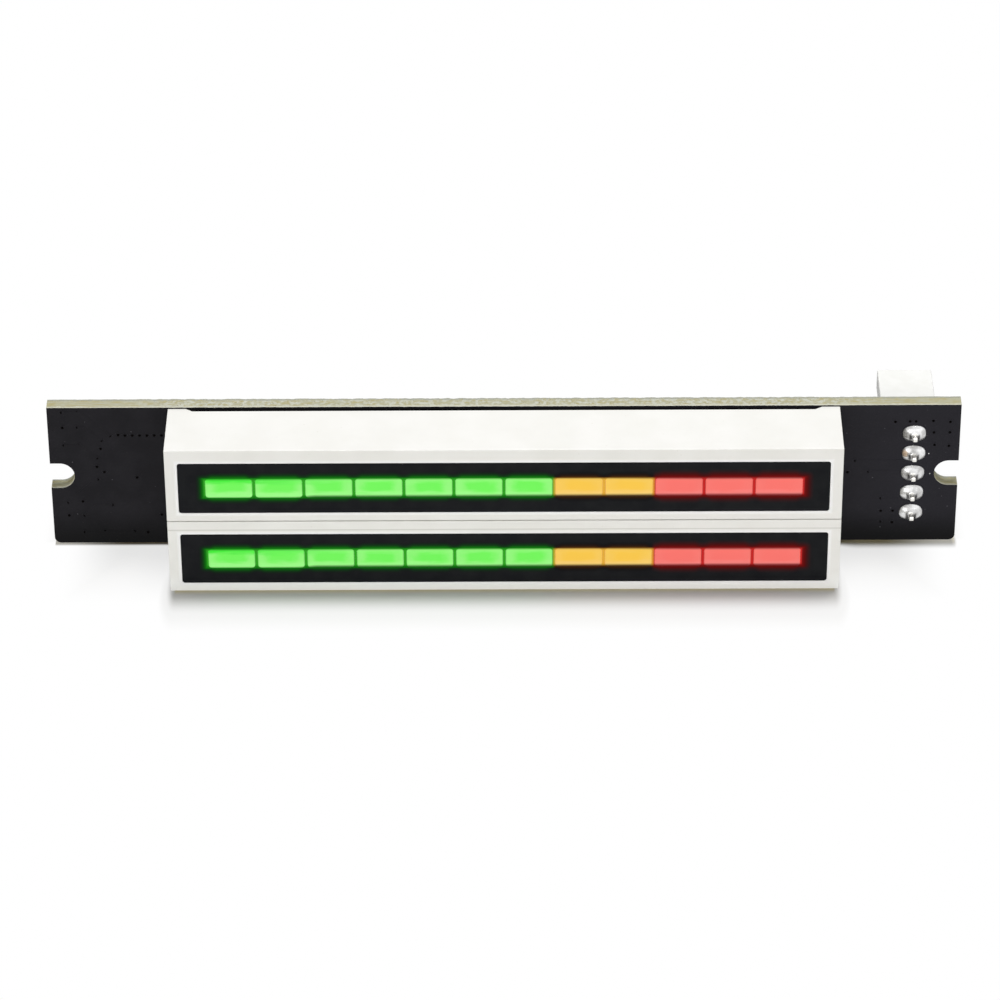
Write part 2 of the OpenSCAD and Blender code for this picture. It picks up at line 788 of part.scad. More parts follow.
module transistor_leads() {
    h = transistor_standoff + transistor_t / 2;
    color([0.76, 0.76, 0.77])
    for (p = transistor_places) on_back(p, p[2]) {
        for (x = [-1, 1]) translate([x * transistor_lead_pitch / 2, -transistor_w / 2, 0]) {
            rotate([0, 0, -90]) transistor_lead(h);
        }
        translate([0, transistor_w / 2, 0]) rotate([0, 0, 90]) transistor_lead(h);
    }
}

module transistor_lead(h) {
    cranked_lead(transistor_lead_reach, h, transistor_lead_w, transistor_lead_t, transistor_lead_foot);
}

// The ceramic middle of a chip part, between its end caps.
module chip_middle(l, w, t, cap) {
    block(l - 2 * cap, w, t);
}

module chip_caps(l, w, t, cap) {
    for (side = [-1, 1]) translate([side * (l - cap) / 2, 0, 0]) block(cap, w, t);
}

module resistor_bodies() {
    color([0.13, 0.13, 0.15])
    for (p = resistor_places) on_back(p, p[2]) {
        chip_middle(resistor_l, resistor_w, resistor_t, resistor_cap_l);
    }
}

module resistor_caps() {
    color([0.8, 0.8, 0.81])
    for (p = resistor_places) on_back(p, p[2]) {
        chip_caps(resistor_l, resistor_w, resistor_t, resistor_cap_l);
    }
}

module capacitor_bodies() {
    color([0.66, 0.52, 0.38])
    for (p = capacitor_places) on_back(p, p[2]) {
        chip_middle(capacitor_l, capacitor_w, capacitor_t, capacitor_cap_l);
    }
}

module capacitor_caps() {
    color([0.8, 0.8, 0.81])
    for (p = capacitor_places) on_back(p, p[2]) {
        chip_caps(capacitor_l, capacitor_w, capacitor_t, capacitor_cap_l);
    }
}

// The black base of a push switch, with a round pocket for its dome and plunger.
module switch_base(at) {
    color([0.14, 0.14, 0.15])
    on_back(at) difference() {
        block(switch_w, switch_w, switch_base_h);
        translate([0, 0, switch_floor]) cylinder(d = switch_pocket_d, h = switch_base_h);
        switch_clips();
    }
}

module switch_clips() {
    for (side = [-1, 1]) translate([0, side * (switch_w - cover_t) / 2, 0]) {
        block(clip_w, cover_t, clip_l, switch_base_h - clip_l);
    }
}

// The steel cover, whose clips fold down into the sides of the base.
module switch_cover(at) {
    color([0.72, 0.72, 0.73])
    on_back(at) difference() {
        union() {
            block(switch_w, switch_w, cover_t, switch_base_h);
            switch_clips();
        }
        translate([0, 0, switch_base_h - bite]) cylinder(d = hole_d, h = cover_t + 2 * bite);
    }
}

// The sprung metal dome that clicks and closes the contact.
module switch_dome(at) {
    color([0.83, 0.77, 0.5])
    on_back(at) translate([0, 0, switch_floor]) intersection() {
        translate([0, 0, dome_rise - dome_r]) difference() {
            sphere(dome_r + dome_t);
            sphere(dome_r);
        }
        cylinder(d = dome_d, h = dome_rise + dome_t + bite);
    }
}

module switch_terminals(at) {
    color([0.76, 0.76, 0.77])
    on_back(at) for (side = [0, 180], y = [-1, 1]) rotate([0, 0, side]) {
        translate([switch_w / 2, y * switch_lead_pitch / 2, 0]) {
            cranked_lead(
                switch_lead_reach, switch_lead_up, switch_lead_w, switch_lead_t, switch_lead_foot
            );
        }
    }
}

// The plunger, held under the cover by its flange, with the nub that presses the dome.
module plunger(at) {
    color([0.12, 0.12, 0.13])
    on_back(at) {
        translate([0, 0, dome_top]) cylinder(d = nub_d, h = flange_bottom - dome_top);
        translate([0, 0, flange_bottom]) cylinder(d = flange_d, h = flange_t);
        translate([0, 0, flange_bottom]) cylinder(d = plunger_d, h = plunger_top - flange_bottom);
    }
}

circuit_board();
housing(upper);  // upper_housing
face_film(upper);  // upper_face_film
green_bars(upper);  // upper_green_bars
amber_bars(upper);  // upper_amber_bars
red_bars(upper);  // upper_red_bars
chip_board(upper);  // upper_chip_board
light_chips(upper);  // upper_light_chips
resin_fill(upper);  // upper_resin_fill
display_pins(upper);  // upper_pins
pin_joints(upper);  // upper_pin_joints
housing(lower);  // lower_housing
face_film(lower);  // lower_face_film
green_bars(lower);  // lower_green_bars
amber_bars(lower);  // lower_amber_bars
red_bars(lower);  // lower_red_bars
chip_board(lower);  // lower_chip_board
light_chips(lower);  // lower_light_chips
resin_fill(lower);  // lower_resin_fill
display_pins(lower);  // lower_pins
pin_joints(lower);  // lower_pin_joints
connector_shell();
connector_pins();
connector_joints();
microcontroller_body();
microcontroller_leads();
regulator_body();
regulator_leads();
reservoir_base();
reservoir_can();
reservoir_terminals();
diode_body();
diode_terminals();
transistor_bodies();
transistor_leads();
resistor_bodies();
resistor_caps();
capacitor_bodies();
capacitor_caps();
switch_base(mode_at);  // mode_switch_base
switch_cover(mode_at);  // mode_switch_cover
switch_dome(mode_at);  // mode_switch_dome
switch_terminals(mode_at);  // mode_switch_terminals
plunger(mode_at);  // mode_plunger
switch_base(speed_at);  // speed_switch_base
switch_cover(speed_at);  // speed_switch_cover
switch_dome(speed_at);  // speed_switch_dome
switch_terminals(speed_at);  // speed_switch_terminals
plunger(speed_at);  // speed_plunger
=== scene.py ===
import math

import bmesh
import bpy
from mathutils import Matrix, Vector, noise


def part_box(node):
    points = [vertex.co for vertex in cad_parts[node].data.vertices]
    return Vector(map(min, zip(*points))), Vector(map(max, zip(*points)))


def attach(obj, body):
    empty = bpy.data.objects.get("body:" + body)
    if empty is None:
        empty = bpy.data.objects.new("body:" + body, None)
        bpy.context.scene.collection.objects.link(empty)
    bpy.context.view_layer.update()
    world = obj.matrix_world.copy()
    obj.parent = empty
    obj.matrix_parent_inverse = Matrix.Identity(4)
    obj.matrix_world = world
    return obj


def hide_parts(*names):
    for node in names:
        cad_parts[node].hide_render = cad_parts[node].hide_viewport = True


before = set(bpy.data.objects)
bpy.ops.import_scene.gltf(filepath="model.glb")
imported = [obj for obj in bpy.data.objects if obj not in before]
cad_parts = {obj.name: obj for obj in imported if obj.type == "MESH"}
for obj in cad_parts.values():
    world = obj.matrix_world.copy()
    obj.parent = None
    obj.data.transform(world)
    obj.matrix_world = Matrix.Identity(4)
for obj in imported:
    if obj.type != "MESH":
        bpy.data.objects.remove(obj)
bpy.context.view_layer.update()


# Circuit board. A strip of woven glass laminate, 1.6 mm thick, with black solder mask on both faces.
# A router cuts its notches and lower corners, and its upper edge is snapped off the next board. The
# mask covers the copper tracks, which stand out as low ridges, and the small through-holes.
MM = 0.001
board_low, board_high = (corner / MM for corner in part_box("circuit_board"))
board_l = board_high.x - board_low.x
board_t = board_high.y - board_low.y
board_corner_r = 0.7
notch_x = 47.0
notch_r = 1.55
snapped_rise = 0.16
pin_hole_r, contact_hole_r, via_hole_r = 0.4, 0.5, 0.15
via_ring_r = 0.24
via_ring_w = 0.14
copper_rise = 0.018
mask_black, mask_ridge, mask_painted_sheen = (24, 23, 27), (30, 29, 33), (39, 38, 44)
mask_painted_shade, mask_dust = (5, 5, 6), (96, 94, 100)
glass_tan, glass_grey, glass_white = (174, 166, 124), (180, 180, 158), (198, 199, 184)
pit_brown, front_lip_white, rear_lip_grey = (124, 114, 88), (216, 215, 200), (158, 160, 148)
dust_scale, weave_scale = 1600.0, 700


def colour(red, green, blue):
    """A colour as the eye sees it, 0 to 255 each, in the light values that a shader takes."""
    def light(value):
        value = value / 255
        return value / 12.92 if value <= 0.04045 else ((value + 0.055) / 1.055) ** 2.4
    return (light(red), light(green), light(blue), 1.0)


def plug(node, inputs):
    """Sets inputs of a node. A plain colour is given as the eye sees it, 0 to 255 each."""
    for name, value in inputs.items():
        if isinstance(value, Value):
            node.id_data.links.new(value.socket, node.inputs[name])
        elif node.inputs[name].type == "RGBA":
            node.inputs[name].default_value = colour(*value)
        else:
            node.inputs[name].default_value = value


def step(tree, kind, inputs=None, output=0, **settings):
    """Adds one node to a tree and gives what comes out of it."""
    node = tree.nodes.new(kind)
    for setting, value in settings.items():
        setattr(node, setting, value)
    plug(node, inputs or {})
    return Value(node.outputs[output])


def sums(operation, swapped=False):
    """One kind of sum between what two nodes give, or a node and a plain number."""
    def result(first, second=0.0):
        tree = (first if isinstance(first, Value) else second).tree
        pair = {0: second, 1: first} if swapped else {0: first, 1: second}
        return step(tree, "ShaderNodeMath", pair, operation=operation)
    return result


class Value:
    """What comes out of a node. It adds up like a plain number."""
    def __init__(self, socket):
        self.socket = socket
        self.tree = socket.id_data

    __add__ = __radd__ = sums("ADD")
    __sub__, __rsub__ = sums("SUBTRACT"), sums("SUBTRACT", swapped=True)
    __mul__ = __rmul__ = sums("MULTIPLY")
    __truediv__, __rtruediv__ = sums("DIVIDE"), sums("DIVIDE", swapped=True)
    __mod__ = sums("MODULO")
    __abs__ = sums("ABSOLUTE")
    __gt__ = sums("GREATER_THAN")
    __lt__ = sums("LESS_THAN")


larger = sums("MAXIMUM")
smaller = sums("MINIMUM")
root = sums("SQRT")


def axes(place, names):
    """How far a place lies along each of the named axes, in metres."""
    parts = step(place.tree, "ShaderNodeSeparateXYZ", {"Vector": place}).socket.node.outputs
    return [Value(parts[name]) for name in names]


def axes_mm(place, names):
    """The same in millimetres."""
    return [along / MM for along in axes(place, names)]


def between(share, first, second):
    """A colour part of the way from one to another, by a share from 0 to 1."""
    return step(share.tree, "ShaderNodeMix", {0: share, 6: first, 7: second}, 2, data_type="RGBA")


def graded(value, low, high, to_low=0.0, to_high=1.0):
    """A number that is led smoothly from one range to another."""
    return step(value.tree, "ShaderNodeMapRange", {
        "Value": value, "From Min": low, "From Max": high, "To Min": to_low, "To Max": to_high,
    }, interpolation_type="SMOOTHSTEP")


def stretched(place, *scale):
    """A place with each axis scaled, which draws a cloud out into streaks."""
    return step(place.tree, "ShaderNodeMapping", {"Vector": place, "Scale": scale})


def cloudy(place, grain, detail=3.0):
    """Uneven cloud with spots about one grain wide, in mm."""
    return step(place.tree, "ShaderNodeTexNoise", {
        "Vector": place, "Scale": 1 / (grain * MM), "Detail": detail}, "Fac")


def drift(cloud, low=0.0, high=1.0):
    """A cloud led from one number to another."""
    return graded(cloud, 0.3, 0.7, low, high)


def raised(height, depth):
    """A bump of that depth, in mm."""
    return step(height.tree, "ShaderNodeBump", {"Height": height, "Distance": depth * MM, "Strength": 1.0})


def coat(material, **inputs):
    """Puts colour, gloss or relief on a finish, and hands it back."""
    plug(material.node_tree.nodes["Principled BSDF"], {
        name.replace("_", " "): value for name, value in inputs.items()})
    return material


def bare_finish(name, metal=0.0, gloss=0.5):
    """An empty finish, and the place of each point on the piece."""
    material = bpy.data.materials.new(name)
    material.use_nodes = True
    coat(material, Metallic=metal, Specular_IOR_Level=gloss)
    return material, step(material.node_tree, "ShaderNodeTexCoord", output="Object")


def grained(name, first, second, grain, roughness, relief=0.0, metal=0.0, gloss=0.5):
    """A finish that drifts between two colours, with small uneven spots in its gloss and relief."""
    material, place = bare_finish(name, metal, gloss)
    fine = cloudy(place, grain / 4)
    if relief:
        coat(material, Normal=raised(fine, relief))
    return coat(material, Base_Color=between(drift(cloudy(place, grain)), first, second),
                Roughness=graded(fine, 0.25, 0.75, roughness * 0.85, roughness * 1.15))


def solder_mask():
    """Black mask over the weave of the glass cloth, with a few pale specks of dust, a painted sheen toward
    the board's right and painted shade on its front toward the foot.
    """
    material, place = bare_finish("solder_mask", gloss=0.10)
    x, y, z = axes(place, "XYZ")
    cloud = cloudy(place, 3)
    tint = between(drift(cloud), mask_black, mask_ridge)
    # Painted sheen: the mask grows lighter and bluer toward the right of the board.
    tint = between(graded(x, -20 * MM, 45 * MM, 0.0, 0.7), tint, mask_painted_sheen)
    # Painted shade: the front of the mask darkens toward the board's foot, near the table; the back keeps its
    # colour.
    foot = graded(z, board_low.z * MM, (board_low.z + 4.6) * MM)
    tint = between(larger(foot, y > 0.5 * MM), mask_painted_shade, tint)
    dust = step(place.tree, "ShaderNodeTexVoronoi", {"Vector": place, "Scale": dust_scale})
    specks = graded(dust, 0.10, 0.06) * (cloudy(place, 0.9) > 0.59)
    along, up = (step(place.tree, "ShaderNodeTexWave", {
        "Vector": place, "Scale": weave_scale, "Distortion": 0.6,
    }, "Fac", bands_direction=direction) for direction in "XZ")
    return coat(material, Base_Color=between(specks, tint, mask_dust), Roughness=drift(cloud, 0.30, 0.40),
                Normal=raised(along * up + cloudy(place, 0.12), 0.004))


def bare_laminate():
    """The cut edge: resin and glass layers that run along the board, whitened where they tore."""
    material, place = bare_finish("bare_laminate", gloss=0.3)
    x, y = axes(place, "XY")
    layers = cloudy(stretched(place, 0.25, 2.2, 1.0), 0.45, 5.0)
    torn = cloudy(place, 0.5, 6.0)
    middle = graded(abs(x), 42 * MM, 33 * MM, 0.15, 1.0)
    pits = graded(cloudy(place, 0.16, 2.0), 0.66, 0.72)
    depth = y + drift(torn, -0.1 * MM, 0.1 * MM)
    front_lip = graded(depth, 0.30 * MM, 0.12 * MM, 0.0, 0.7)
    rear_lip = graded(depth, (board_t - 0.36) * MM, (board_t - 0.16) * MM, 0.0, 0.8)
    tint = between(graded(layers, 0.35, 0.65), glass_tan, glass_grey)
    tint = between(graded(torn, 0.42, 0.62) * middle, tint, glass_white)
    tint = between(pits * middle, tint, pit_brown)
    tint = between(front_lip, tint, front_lip_white)
    tint = between(rear_lip, tint, rear_lip_grey)
    return coat(material, Base_Color=tint, Roughness=0.75, Normal=raised(torn, 0.03))


def arc(x, z, r, start, end, steps):
    """Points on an arc, between two angles in degrees."""
    turns = [math.radians(start + (end - start) * i / steps) for i in range(steps + 1)]
    return [(x + r * math.cos(turn), z + r * math.sin(turn)) for turn in turns]


def circle(x, z, r, points=24):
    """Points on a full circle."""
    return arc(x, z, r, 0, 360 - 360 / points, points - 1)


def as_mesh(holder):
    """The plain mesh that an object comes out as. The object itself goes."""
    bpy.context.collection.objects.link(holder)
    depsgraph = bpy.context.evaluated_depsgraph_get()
    mesh = bpy.data.meshes.new_from_object(holder.evaluated_get(depsgraph))
    bpy.data.objects.remove(holder)
    return mesh


def plate(name, outline, holes, thickness):
    """A flat plate, drawn in X and Y and centred on Z, with its holes cut out."""
    curve = bpy.data.curves.new(name, "CURVE")
    curve.dimensions = "2D"
    curve.fill_mode = "BOTH"
    curve.extrude = thickness / 2
    for loop in [outline, *holes]:
        spline = curve.splines.new("POLY")
        spline.points.add(len(loop) - 1)
        spline.use_cyclic_u = True
        for point, (x, y) in zip(spline.points, loop):
            point.co = (x, y, 0, 1)
    shape = bmesh.new()
    shape.from_mesh(as_mesh(bpy.data.objects.new(name, curve)))
    bmesh.ops.remove_doubles(shape, verts=shape.verts, dist=0.002)
    return shape


def mesh_from(shape, name, lay, *finishes):
    """Ends a drawing: the mesh, laid in its place, with its finishes."""
    mesh = bpy.data.meshes.new(name)
    bmesh.ops.recalc_face_normals(shape, faces=shape.faces)
    shape.to_mesh(mesh)
    shape.free()
    mesh.transform(lay)
    for finish in finishes:
        mesh.materials.append(finish)
    return mesh


def fit_piece(name, mesh, stands_for=(), body="module"):
    """Puts a finished mesh in the scene as one piece, which may stand for CAD nodes."""
    piece = bpy.data.objects.new(name, mesh)
    bpy.context.collection.objects.link(piece)
    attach(piece, body)
    if stands_for:
        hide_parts(*stands_for)


# A shape is drawn in millimetres with its height along Z, then laid on a face of the board. On the
# back its X runs to the right for a person who looks at the back.
on_front = Matrix(((MM, 0, 0, 0), (0, 0, -MM, 0), (0, MM, 0, 0), (0, 0, 0, 1)))
on_back = Matrix(((-MM, 0, 0, 0), (0, 0, MM, board_t * MM), (0, MM, 0, 0), (0, 0, 0, 1)))
across_back = Matrix.Translation((0, board_t * MM, 0)) @ on_front

display_pin_x = [5.08 * k for k in range(-6, 7)]
display_z = {"upper": 4.0, "lower": -4.9}
contact_x = 43.2
contact_z = [-5, -2.5, 0, 2.5, 5]
via_row = [(-39.9 + 0.772 * k, 5.07) for k in range(6)]
via_places = [
    (41.13, 6.45), (42.68, 6.5), (43.3, 6.5), (45.12, 6.56), (46.91, 6.43), (45.24, 5.11), (46.92, 5.11),
    (45.36, 3.54), (46.89, 3.41), (38.54, 0.14), (36.3, 0.1), (37.11, 1.55), (39.97, -3.24), (40.0, -4.85),
    (41.27, -4.85), (39.95, -6.26), (41.26, -6.33),
    (-46.42, 7.97), (-44.83, 8.0), (-44.85, 6.1), (-46.44, 6.07), (-46.4, 3.86), (-44.85, 3.89),
    (-41.5, 5.01), (-40.62, 5.14), (-42.42, 4.45), (-42.55, 3.4), (-43.0, 2.23), (-43.04, 1.12),
    (-42.28, 0.45), (-43.06, -0.5), (-38.86, -0.25), (-46.29, -3.4), (-44.76, -3.29),
    (-41.65, -3.77), (-44.65, -5.09), (-46.3, -5.08), (-44.72, -7.25), (-42.59, -7.16),
    (-39.44, -7.17), (-38.0, -7.28), (-36.45, -5.02), *via_row,
]

mask = solder_mask()
laminate = bare_laminate()
# Painted shade: the walls of the drilled holes are near black, for the shade inside them.
hole_wall_shade = grained("hole_wall_shade", (8, 7, 7), (17, 14, 12), 0.1, 0.6, gloss=0.05)

end_x = board_l / 2
cut_top = board_high.z - snapped_rise
corner_x = end_x - board_corner_r
corner_z = board_low.z + board_corner_r
board_outline = (
    arc(corner_x, corner_z, board_corner_r, -90, 0, 8)
    + [(end_x, -notch_r)] + arc(notch_x, 0, notch_r, 270, 90, 32) + [(end_x, notch_r)]
    + [(end_x, cut_top), (-end_x, cut_top)]
    + [(-end_x, notch_r)] + arc(-notch_x, 0, notch_r, 90, -90, 32) + [(-end_x, -notch_r)]
    + arc(-corner_x, corner_z, board_corner_r, 180, 270, 8)
)
drilled = [(x, z, pin_hole_r) for z in display_z.values() for x in display_pin_x]
drilled += [(contact_x, z, contact_hole_r) for z in contact_z]
drilled += [(x, z, via_hole_r) for x, z in via_places]
shape = plate("board", board_outline, [circle(*hole) for hole in drilled], board_t)
board_mesh = mesh_from(shape, "board", Matrix.Translation((0, board_t / 2 * MM, 0)) @ on_front,
                       mask, laminate, hole_wall_shade)
for face in board_mesh.polygons:
    x, z = abs(face.center.x) / MM, face.center.z / MM
    routed = x > corner_x or abs(z) > corner_x or z > cut_top - 0.01 or z < board_low.z + 0.01
    notched = x > notch_x - notch_r - 0.05 and abs(z) < notch_r + 0.05
    if abs(face.normal.y) < 0.5:
        face.material_index = 1 if routed or notched else 2
fit_piece("board", board_mesh, ["circuit_board"])


def snapped_edge():
    """The torn upper edge: a comb of short ridges, with the glass standing up in the middle."""
    columns, rows = 640, 9
    shape = bmesh.new()
    grid = []
    for i in range(columns + 1):
        x = -end_x + board_l * i / columns
        line = []
        for j in range(rows + 1):
            y = board_t * j / rows
            tear = noise.noise(Vector((x * 1.6, y * 3.1, 4.7))) + 0.5 * noise.noise(Vector((x * 5, y * 7, 1)))
            calm = min(1.0, max(0.25, (44 - abs(x)) / 10)) * (0.3 + 0.7 * y / board_t)
            drop = min(snapped_rise - 0.03, max(0.0, 0.03 + 0.08 * tear * calm))
            line.append(shape.verts.new((x, y, board_high.z - drop)))
        grid.append(line)
    foot = [[shape.verts.new((line[j].co.x, line[j].co.y, cut_top)) for j in (0, -1)] for line in grid]
    for i in range(columns):
        for j in range(rows):
            shape.faces.new((grid[i][j], grid[i + 1][j], grid[i + 1][j + 1], grid[i][j + 1]))
        shape.faces.new((grid[i][0], foot[i][0], foot[i + 1][0], grid[i + 1][0]))
        shape.faces.new((grid[i][-1], grid[i + 1][-1], foot[i + 1][1], foot[i][1]))
        shape.faces.new((foot[i][0], foot[i][1], foot[i + 1][1], foot[i + 1][0]))
    for i in (0, -1):
        shape.faces.new((*grid[i], foot[i][1], foot[i][0]))
    mesh = mesh_from(shape, "board_snapped_edge", Matrix.Scale(MM, 4), laminate, mask)
    for face in mesh.polygons:
        face.material_index = int(abs(face.normal.y) > 0.9)
    return mesh


fit_piece("board_snapped_edge", snapped_edge())


def new_tree(name, *sizes):
    """A Geometry Nodes tree with a named input for each size, and one for the finish."""
    tree = bpy.data.node_groups.new(name, "GeometryNodeTree")
    tree.interface.new_socket("Geometry", in_out="INPUT", socket_type="NodeSocketGeometry")
    for size in sizes:
        kind = "NodeSocketInt" if size.startswith("Number") else "NodeSocketFloat"
        tree.interface.new_socket(size, in_out="INPUT", socket_type=kind)
    tree.interface.new_socket("Finish", in_out="INPUT", socket_type="NodeSocketMaterial")
    tree.interface.new_socket("Geometry", in_out="OUTPUT", socket_type="NodeSocketGeometry")
    return tree, {socket.name: Value(socket) for socket in tree.nodes.new("NodeGroupInput").outputs}


def copies(tree, points, shape, **placing):
    """A copy of a shape on each point."""
    return step(tree, "GeometryNodeInstanceOnPoints", {"Points": points, "Instance": shape, **placing})


def swept(tree, line, section, **settings):
    """A section drawn along a line."""
    return step(tree, "GeometryNodeCurveToMesh", {"Curve": line, "Profile Curve": section, **settings})


def flat_strip(tree, line, sizes, **settings):
    """A flat strip along a line, as wide and thick as the tree's sizes say."""
    level = step(tree, "GeometryNodeSetCurveNormal", {"Curve": line}, mode="Z_UP")
    section = step(tree, "GeometryNodeCurvePrimitiveQuadrilateral", {
        "Width": sizes["Width"], "Height": sizes["Thickness"]})
    return swept(tree, level, section, **settings)


def bent_strip(tree, sizes, steps):
    """A flat strip along each seed path, with its corners eased in a number of steps."""
    line = step(tree, "GeometryNodeMeshToCurve", {"Mesh": sizes["Geometry"]})
    bent = step(tree, "GeometryNodeFilletCurve", {
        "Curve": line, "Count": steps, "Radius": sizes["Bend"], "Limit Radius": True}, mode="POLY")
    return flat_strip(tree, bent, sizes, **{"Fill Caps": True})


def end_tree(tree, sizes, shape, smooth=False):
    """Closes a tree: the instances become real, get their finish and leave the tree."""
    real = step(tree, "GeometryNodeRealizeInstances", {"Geometry": shape})
    soft = step(tree, "GeometryNodeSetShadeSmooth", {"Geometry": real, "Shade Smooth": smooth})
    done = step(tree, "GeometryNodeSetMaterial", {"Geometry": soft, "Material": sizes["Finish"]})
    plug(tree.nodes.new("NodeGroupOutput"), {"Geometry": done})
    return tree


def paths(name, lines):
    """A seed mesh of open paths, each a list of points in X and Y, or X, Y and Z."""
    points, edges = [], []
    for line in lines:
        edges += [(len(points) + i, len(points) + i + 1) for i in range(len(line) - 1)]
        points += [(*point, 0)[:3] for point in line]
    mesh = bpy.data.meshes.new(name)
    mesh.from_pydata(points, edges, [])
    return mesh


def grow(name, lines, tree, lay, finish, **sizes):
    """Runs a tree on seed lines with those sizes, and lays the mesh in its place."""
    holder = bpy.data.objects.new(name, paths(name, lines))
    modifier = holder.modifiers.new("grow", "NODES")
    modifier.node_group = tree
    values = {size.replace("_", " "): value for size, value in sizes.items()}
    for item in tree.interface.items_tree:
        if item.in_out == "INPUT" and item.name in values:
            modifier[item.identifier] = values[item.name]
        elif item.name == "Finish":
            modifier[item.identifier] = finish
    mesh = as_mesh(holder)
    mesh.transform(lay)
    return mesh


def grown_piece(name, lines, tree, lay, finish, slot, *stands_for, **sizes):
    """Grows a mesh on seed lines and fits it as a piece."""
    fit_piece(name, grow(name, lines, tree, lay, finish, **sizes), stands_for)


def ribbon_tree():
    """A flat ribbon along each path, with its corners eased. Tracks and printed lines are ribbons."""
    tree, sizes = new_tree("ribbons", "Width", "Thickness", "Bend")
    return end_tree(tree, sizes, bent_strip(tree, sizes, 3))


def ring_tree():
    """A flat ring round each point."""
    tree, sizes = new_tree("rings", "Radius", "Width", "Thickness")
    circle = step(tree, "GeometryNodeCurvePrimitiveCircle", {
        "Resolution": 20, "Radius": sizes["Radius"]}, mode="RADIUS")
    return end_tree(tree, sizes, copies(tree, sizes["Geometry"], flat_strip(tree, circle, sizes)))


def route(start, end):
    """A track that runs straight first and then at 45 degrees, as a board's tracks do."""
    x, z = end[0] - start[0], end[1] - start[1]
    slant = min(abs(x), abs(z))
    knee = (end[0] - math.copysign(slant, x), end[1] - math.copysign(slant, z))
    return [start, knee, end]


ribbons = ribbon_tree()
rings = ring_tree()
chip_x = -38.7
chip_pitch = 0.8
segment_resistor_x = [1.5 + 1.8 * i for i in range(12)]
upright_z = -0.45
signal_tracks = []
for side, row in ((1, "upper"), (-1, "lower")):
    for k in range(4):
        lead = (chip_x + 4.3, side * (2.8 - chip_pitch * k))
        signal_tracks.append(route(lead, (display_pin_x[k], display_z[row])))
    cap_z = upright_z + side * 0.65
    for k in range(5 if side < 0 else 4):
        resistor = (segment_resistor_x[2 * k + (side < 0)], cap_z)
        signal_tracks.append(route(resistor, (display_pin_x[6 + k], display_z[row])))
for k, place in enumerate(via_row):
    signal_tracks.append(route((chip_x - 2 + chip_pitch * k, 4.2), place))
signal_tracks += [route(*ends) for ends in (
    ((-43, 2.4), (-44.85, 3.89)), ((-43, 1.6), (-46.4, 3.86)), ((-43, -2.4), (-44.76, -3.29)),
    ((-43, -1.6), (-46.29, -3.4)), ((-44.65, -5.09), (-44.72, -7.25)), ((-46.42, 7.97), (-41.5, 5.01)),
    ((-42.59, -7.16), (-36.45, -5.02)), ((26.2, 0.15), (31.2, 5.4)), ((26.2, -3.15), (31.6, -7.4)))]
power_tracks = [
    [(43.2, -5), (40.9, -5), (40.1, -5.8), (37.8, -5.8)],
    [(33.4, -5.8), (31.9, -4.3), (31.9, -1.6), (33.3, 0.2)],
    [(38.1, 0.2), (38.9, 1.0), (38.9, 5.6), (37.1, 7.0), (35.6, 7.0)],
    [(43.2, 5), (41.6, 6.6), (39.4, 6.6), (38.9, 6.1)],
]
front_tracks = [route(*ends) for ends in (
    ((-46.42, 7.97), (-41.5, 5.01)), ((-44.85, 6.1), (-42.42, 4.45)), ((-46.4, 3.86), (-43.0, 2.23)),
    ((-43.06, -0.5), (-46.29, -3.4)), ((-41.65, -3.77), (-44.65, -5.09)),
    ((-44.72, -7.25), (-39.44, -7.17)), ((39.97, -3.24), (43.2, -2.5)), ((39.95, -6.26), (36.2, -7.4)),
    ((37.11, 1.55), (43.2, 2.5)), ((38.54, 0.14), (43.2, 0)))]
for name, lines, width, lay in (("signal_tracks", signal_tracks, 0.28, across_back),
                                ("power_tracks", power_tracks, 1.1, across_back),
                                ("front_tracks", front_tracks, 0.25, on_front)):
    grown_piece(name, lines, ribbons, lay, mask, "board", Width=width, Thickness=2 * copper_rise, Bend=0.3)
for name, lay in (("front_via_rings", on_front), ("rear_via_rings", across_back)):
    grown_piece(name, [[place] for place in via_places], rings, lay, mask, "board",
                Radius=via_ring_r, Width=via_ring_w, Thickness=2.4 * copper_rise)


# Insides of the two displays. Small green boards carry the light-emitting chips, one at the back of
# each light well. Resin is poured in behind them and holds the rows of tinned pins.
def carry(node, finish):
    """Keeps a CAD node as it is and gives it its finish."""
    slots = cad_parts[node].data.materials
    for index in range(len(slots)):
        slots[index] = finish


def eased_piece(name, node, slot, finish, *eases):
    """A copy of a CAD node with its sharp edges eased: each ease is a width in mm, the steps, and a
    test that picks its edges."""
    shape = bmesh.new()
    shape.from_mesh(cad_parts[node].data)
    bmesh.ops.remove_doubles(shape, verts=shape.verts, dist=0.001 * MM)
    bmesh.ops.dissolve_limit(shape, angle_limit=math.radians(1), verts=shape.verts, edges=shape.edges)
    bmesh.ops.recalc_face_normals(shape, faces=shape.faces)
    for width, steps, *picked in eases:
        sharp = [edge for edge in shape.edges if edge.is_manifold and edge.calc_face_angle() > 0.5]
        for test in picked:
            sharp = [edge for edge in sharp if test(edge)]
        bmesh.ops.bevel(shape, geom=sharp, offset=width * MM, segments=steps, profile=0.5,
                        affect="EDGES", clamp_overlap=True)
    bmesh.ops.remove_doubles(shape, verts=shape.verts, dist=0.0005 * MM)
    mesh = bpy.data.meshes.new(node + "_eased")
    shape.to_mesh(mesh)
    shape.free()
    mesh.materials.clear()
    mesh.materials.append(finish)
    fit_piece(name, mesh, [node])


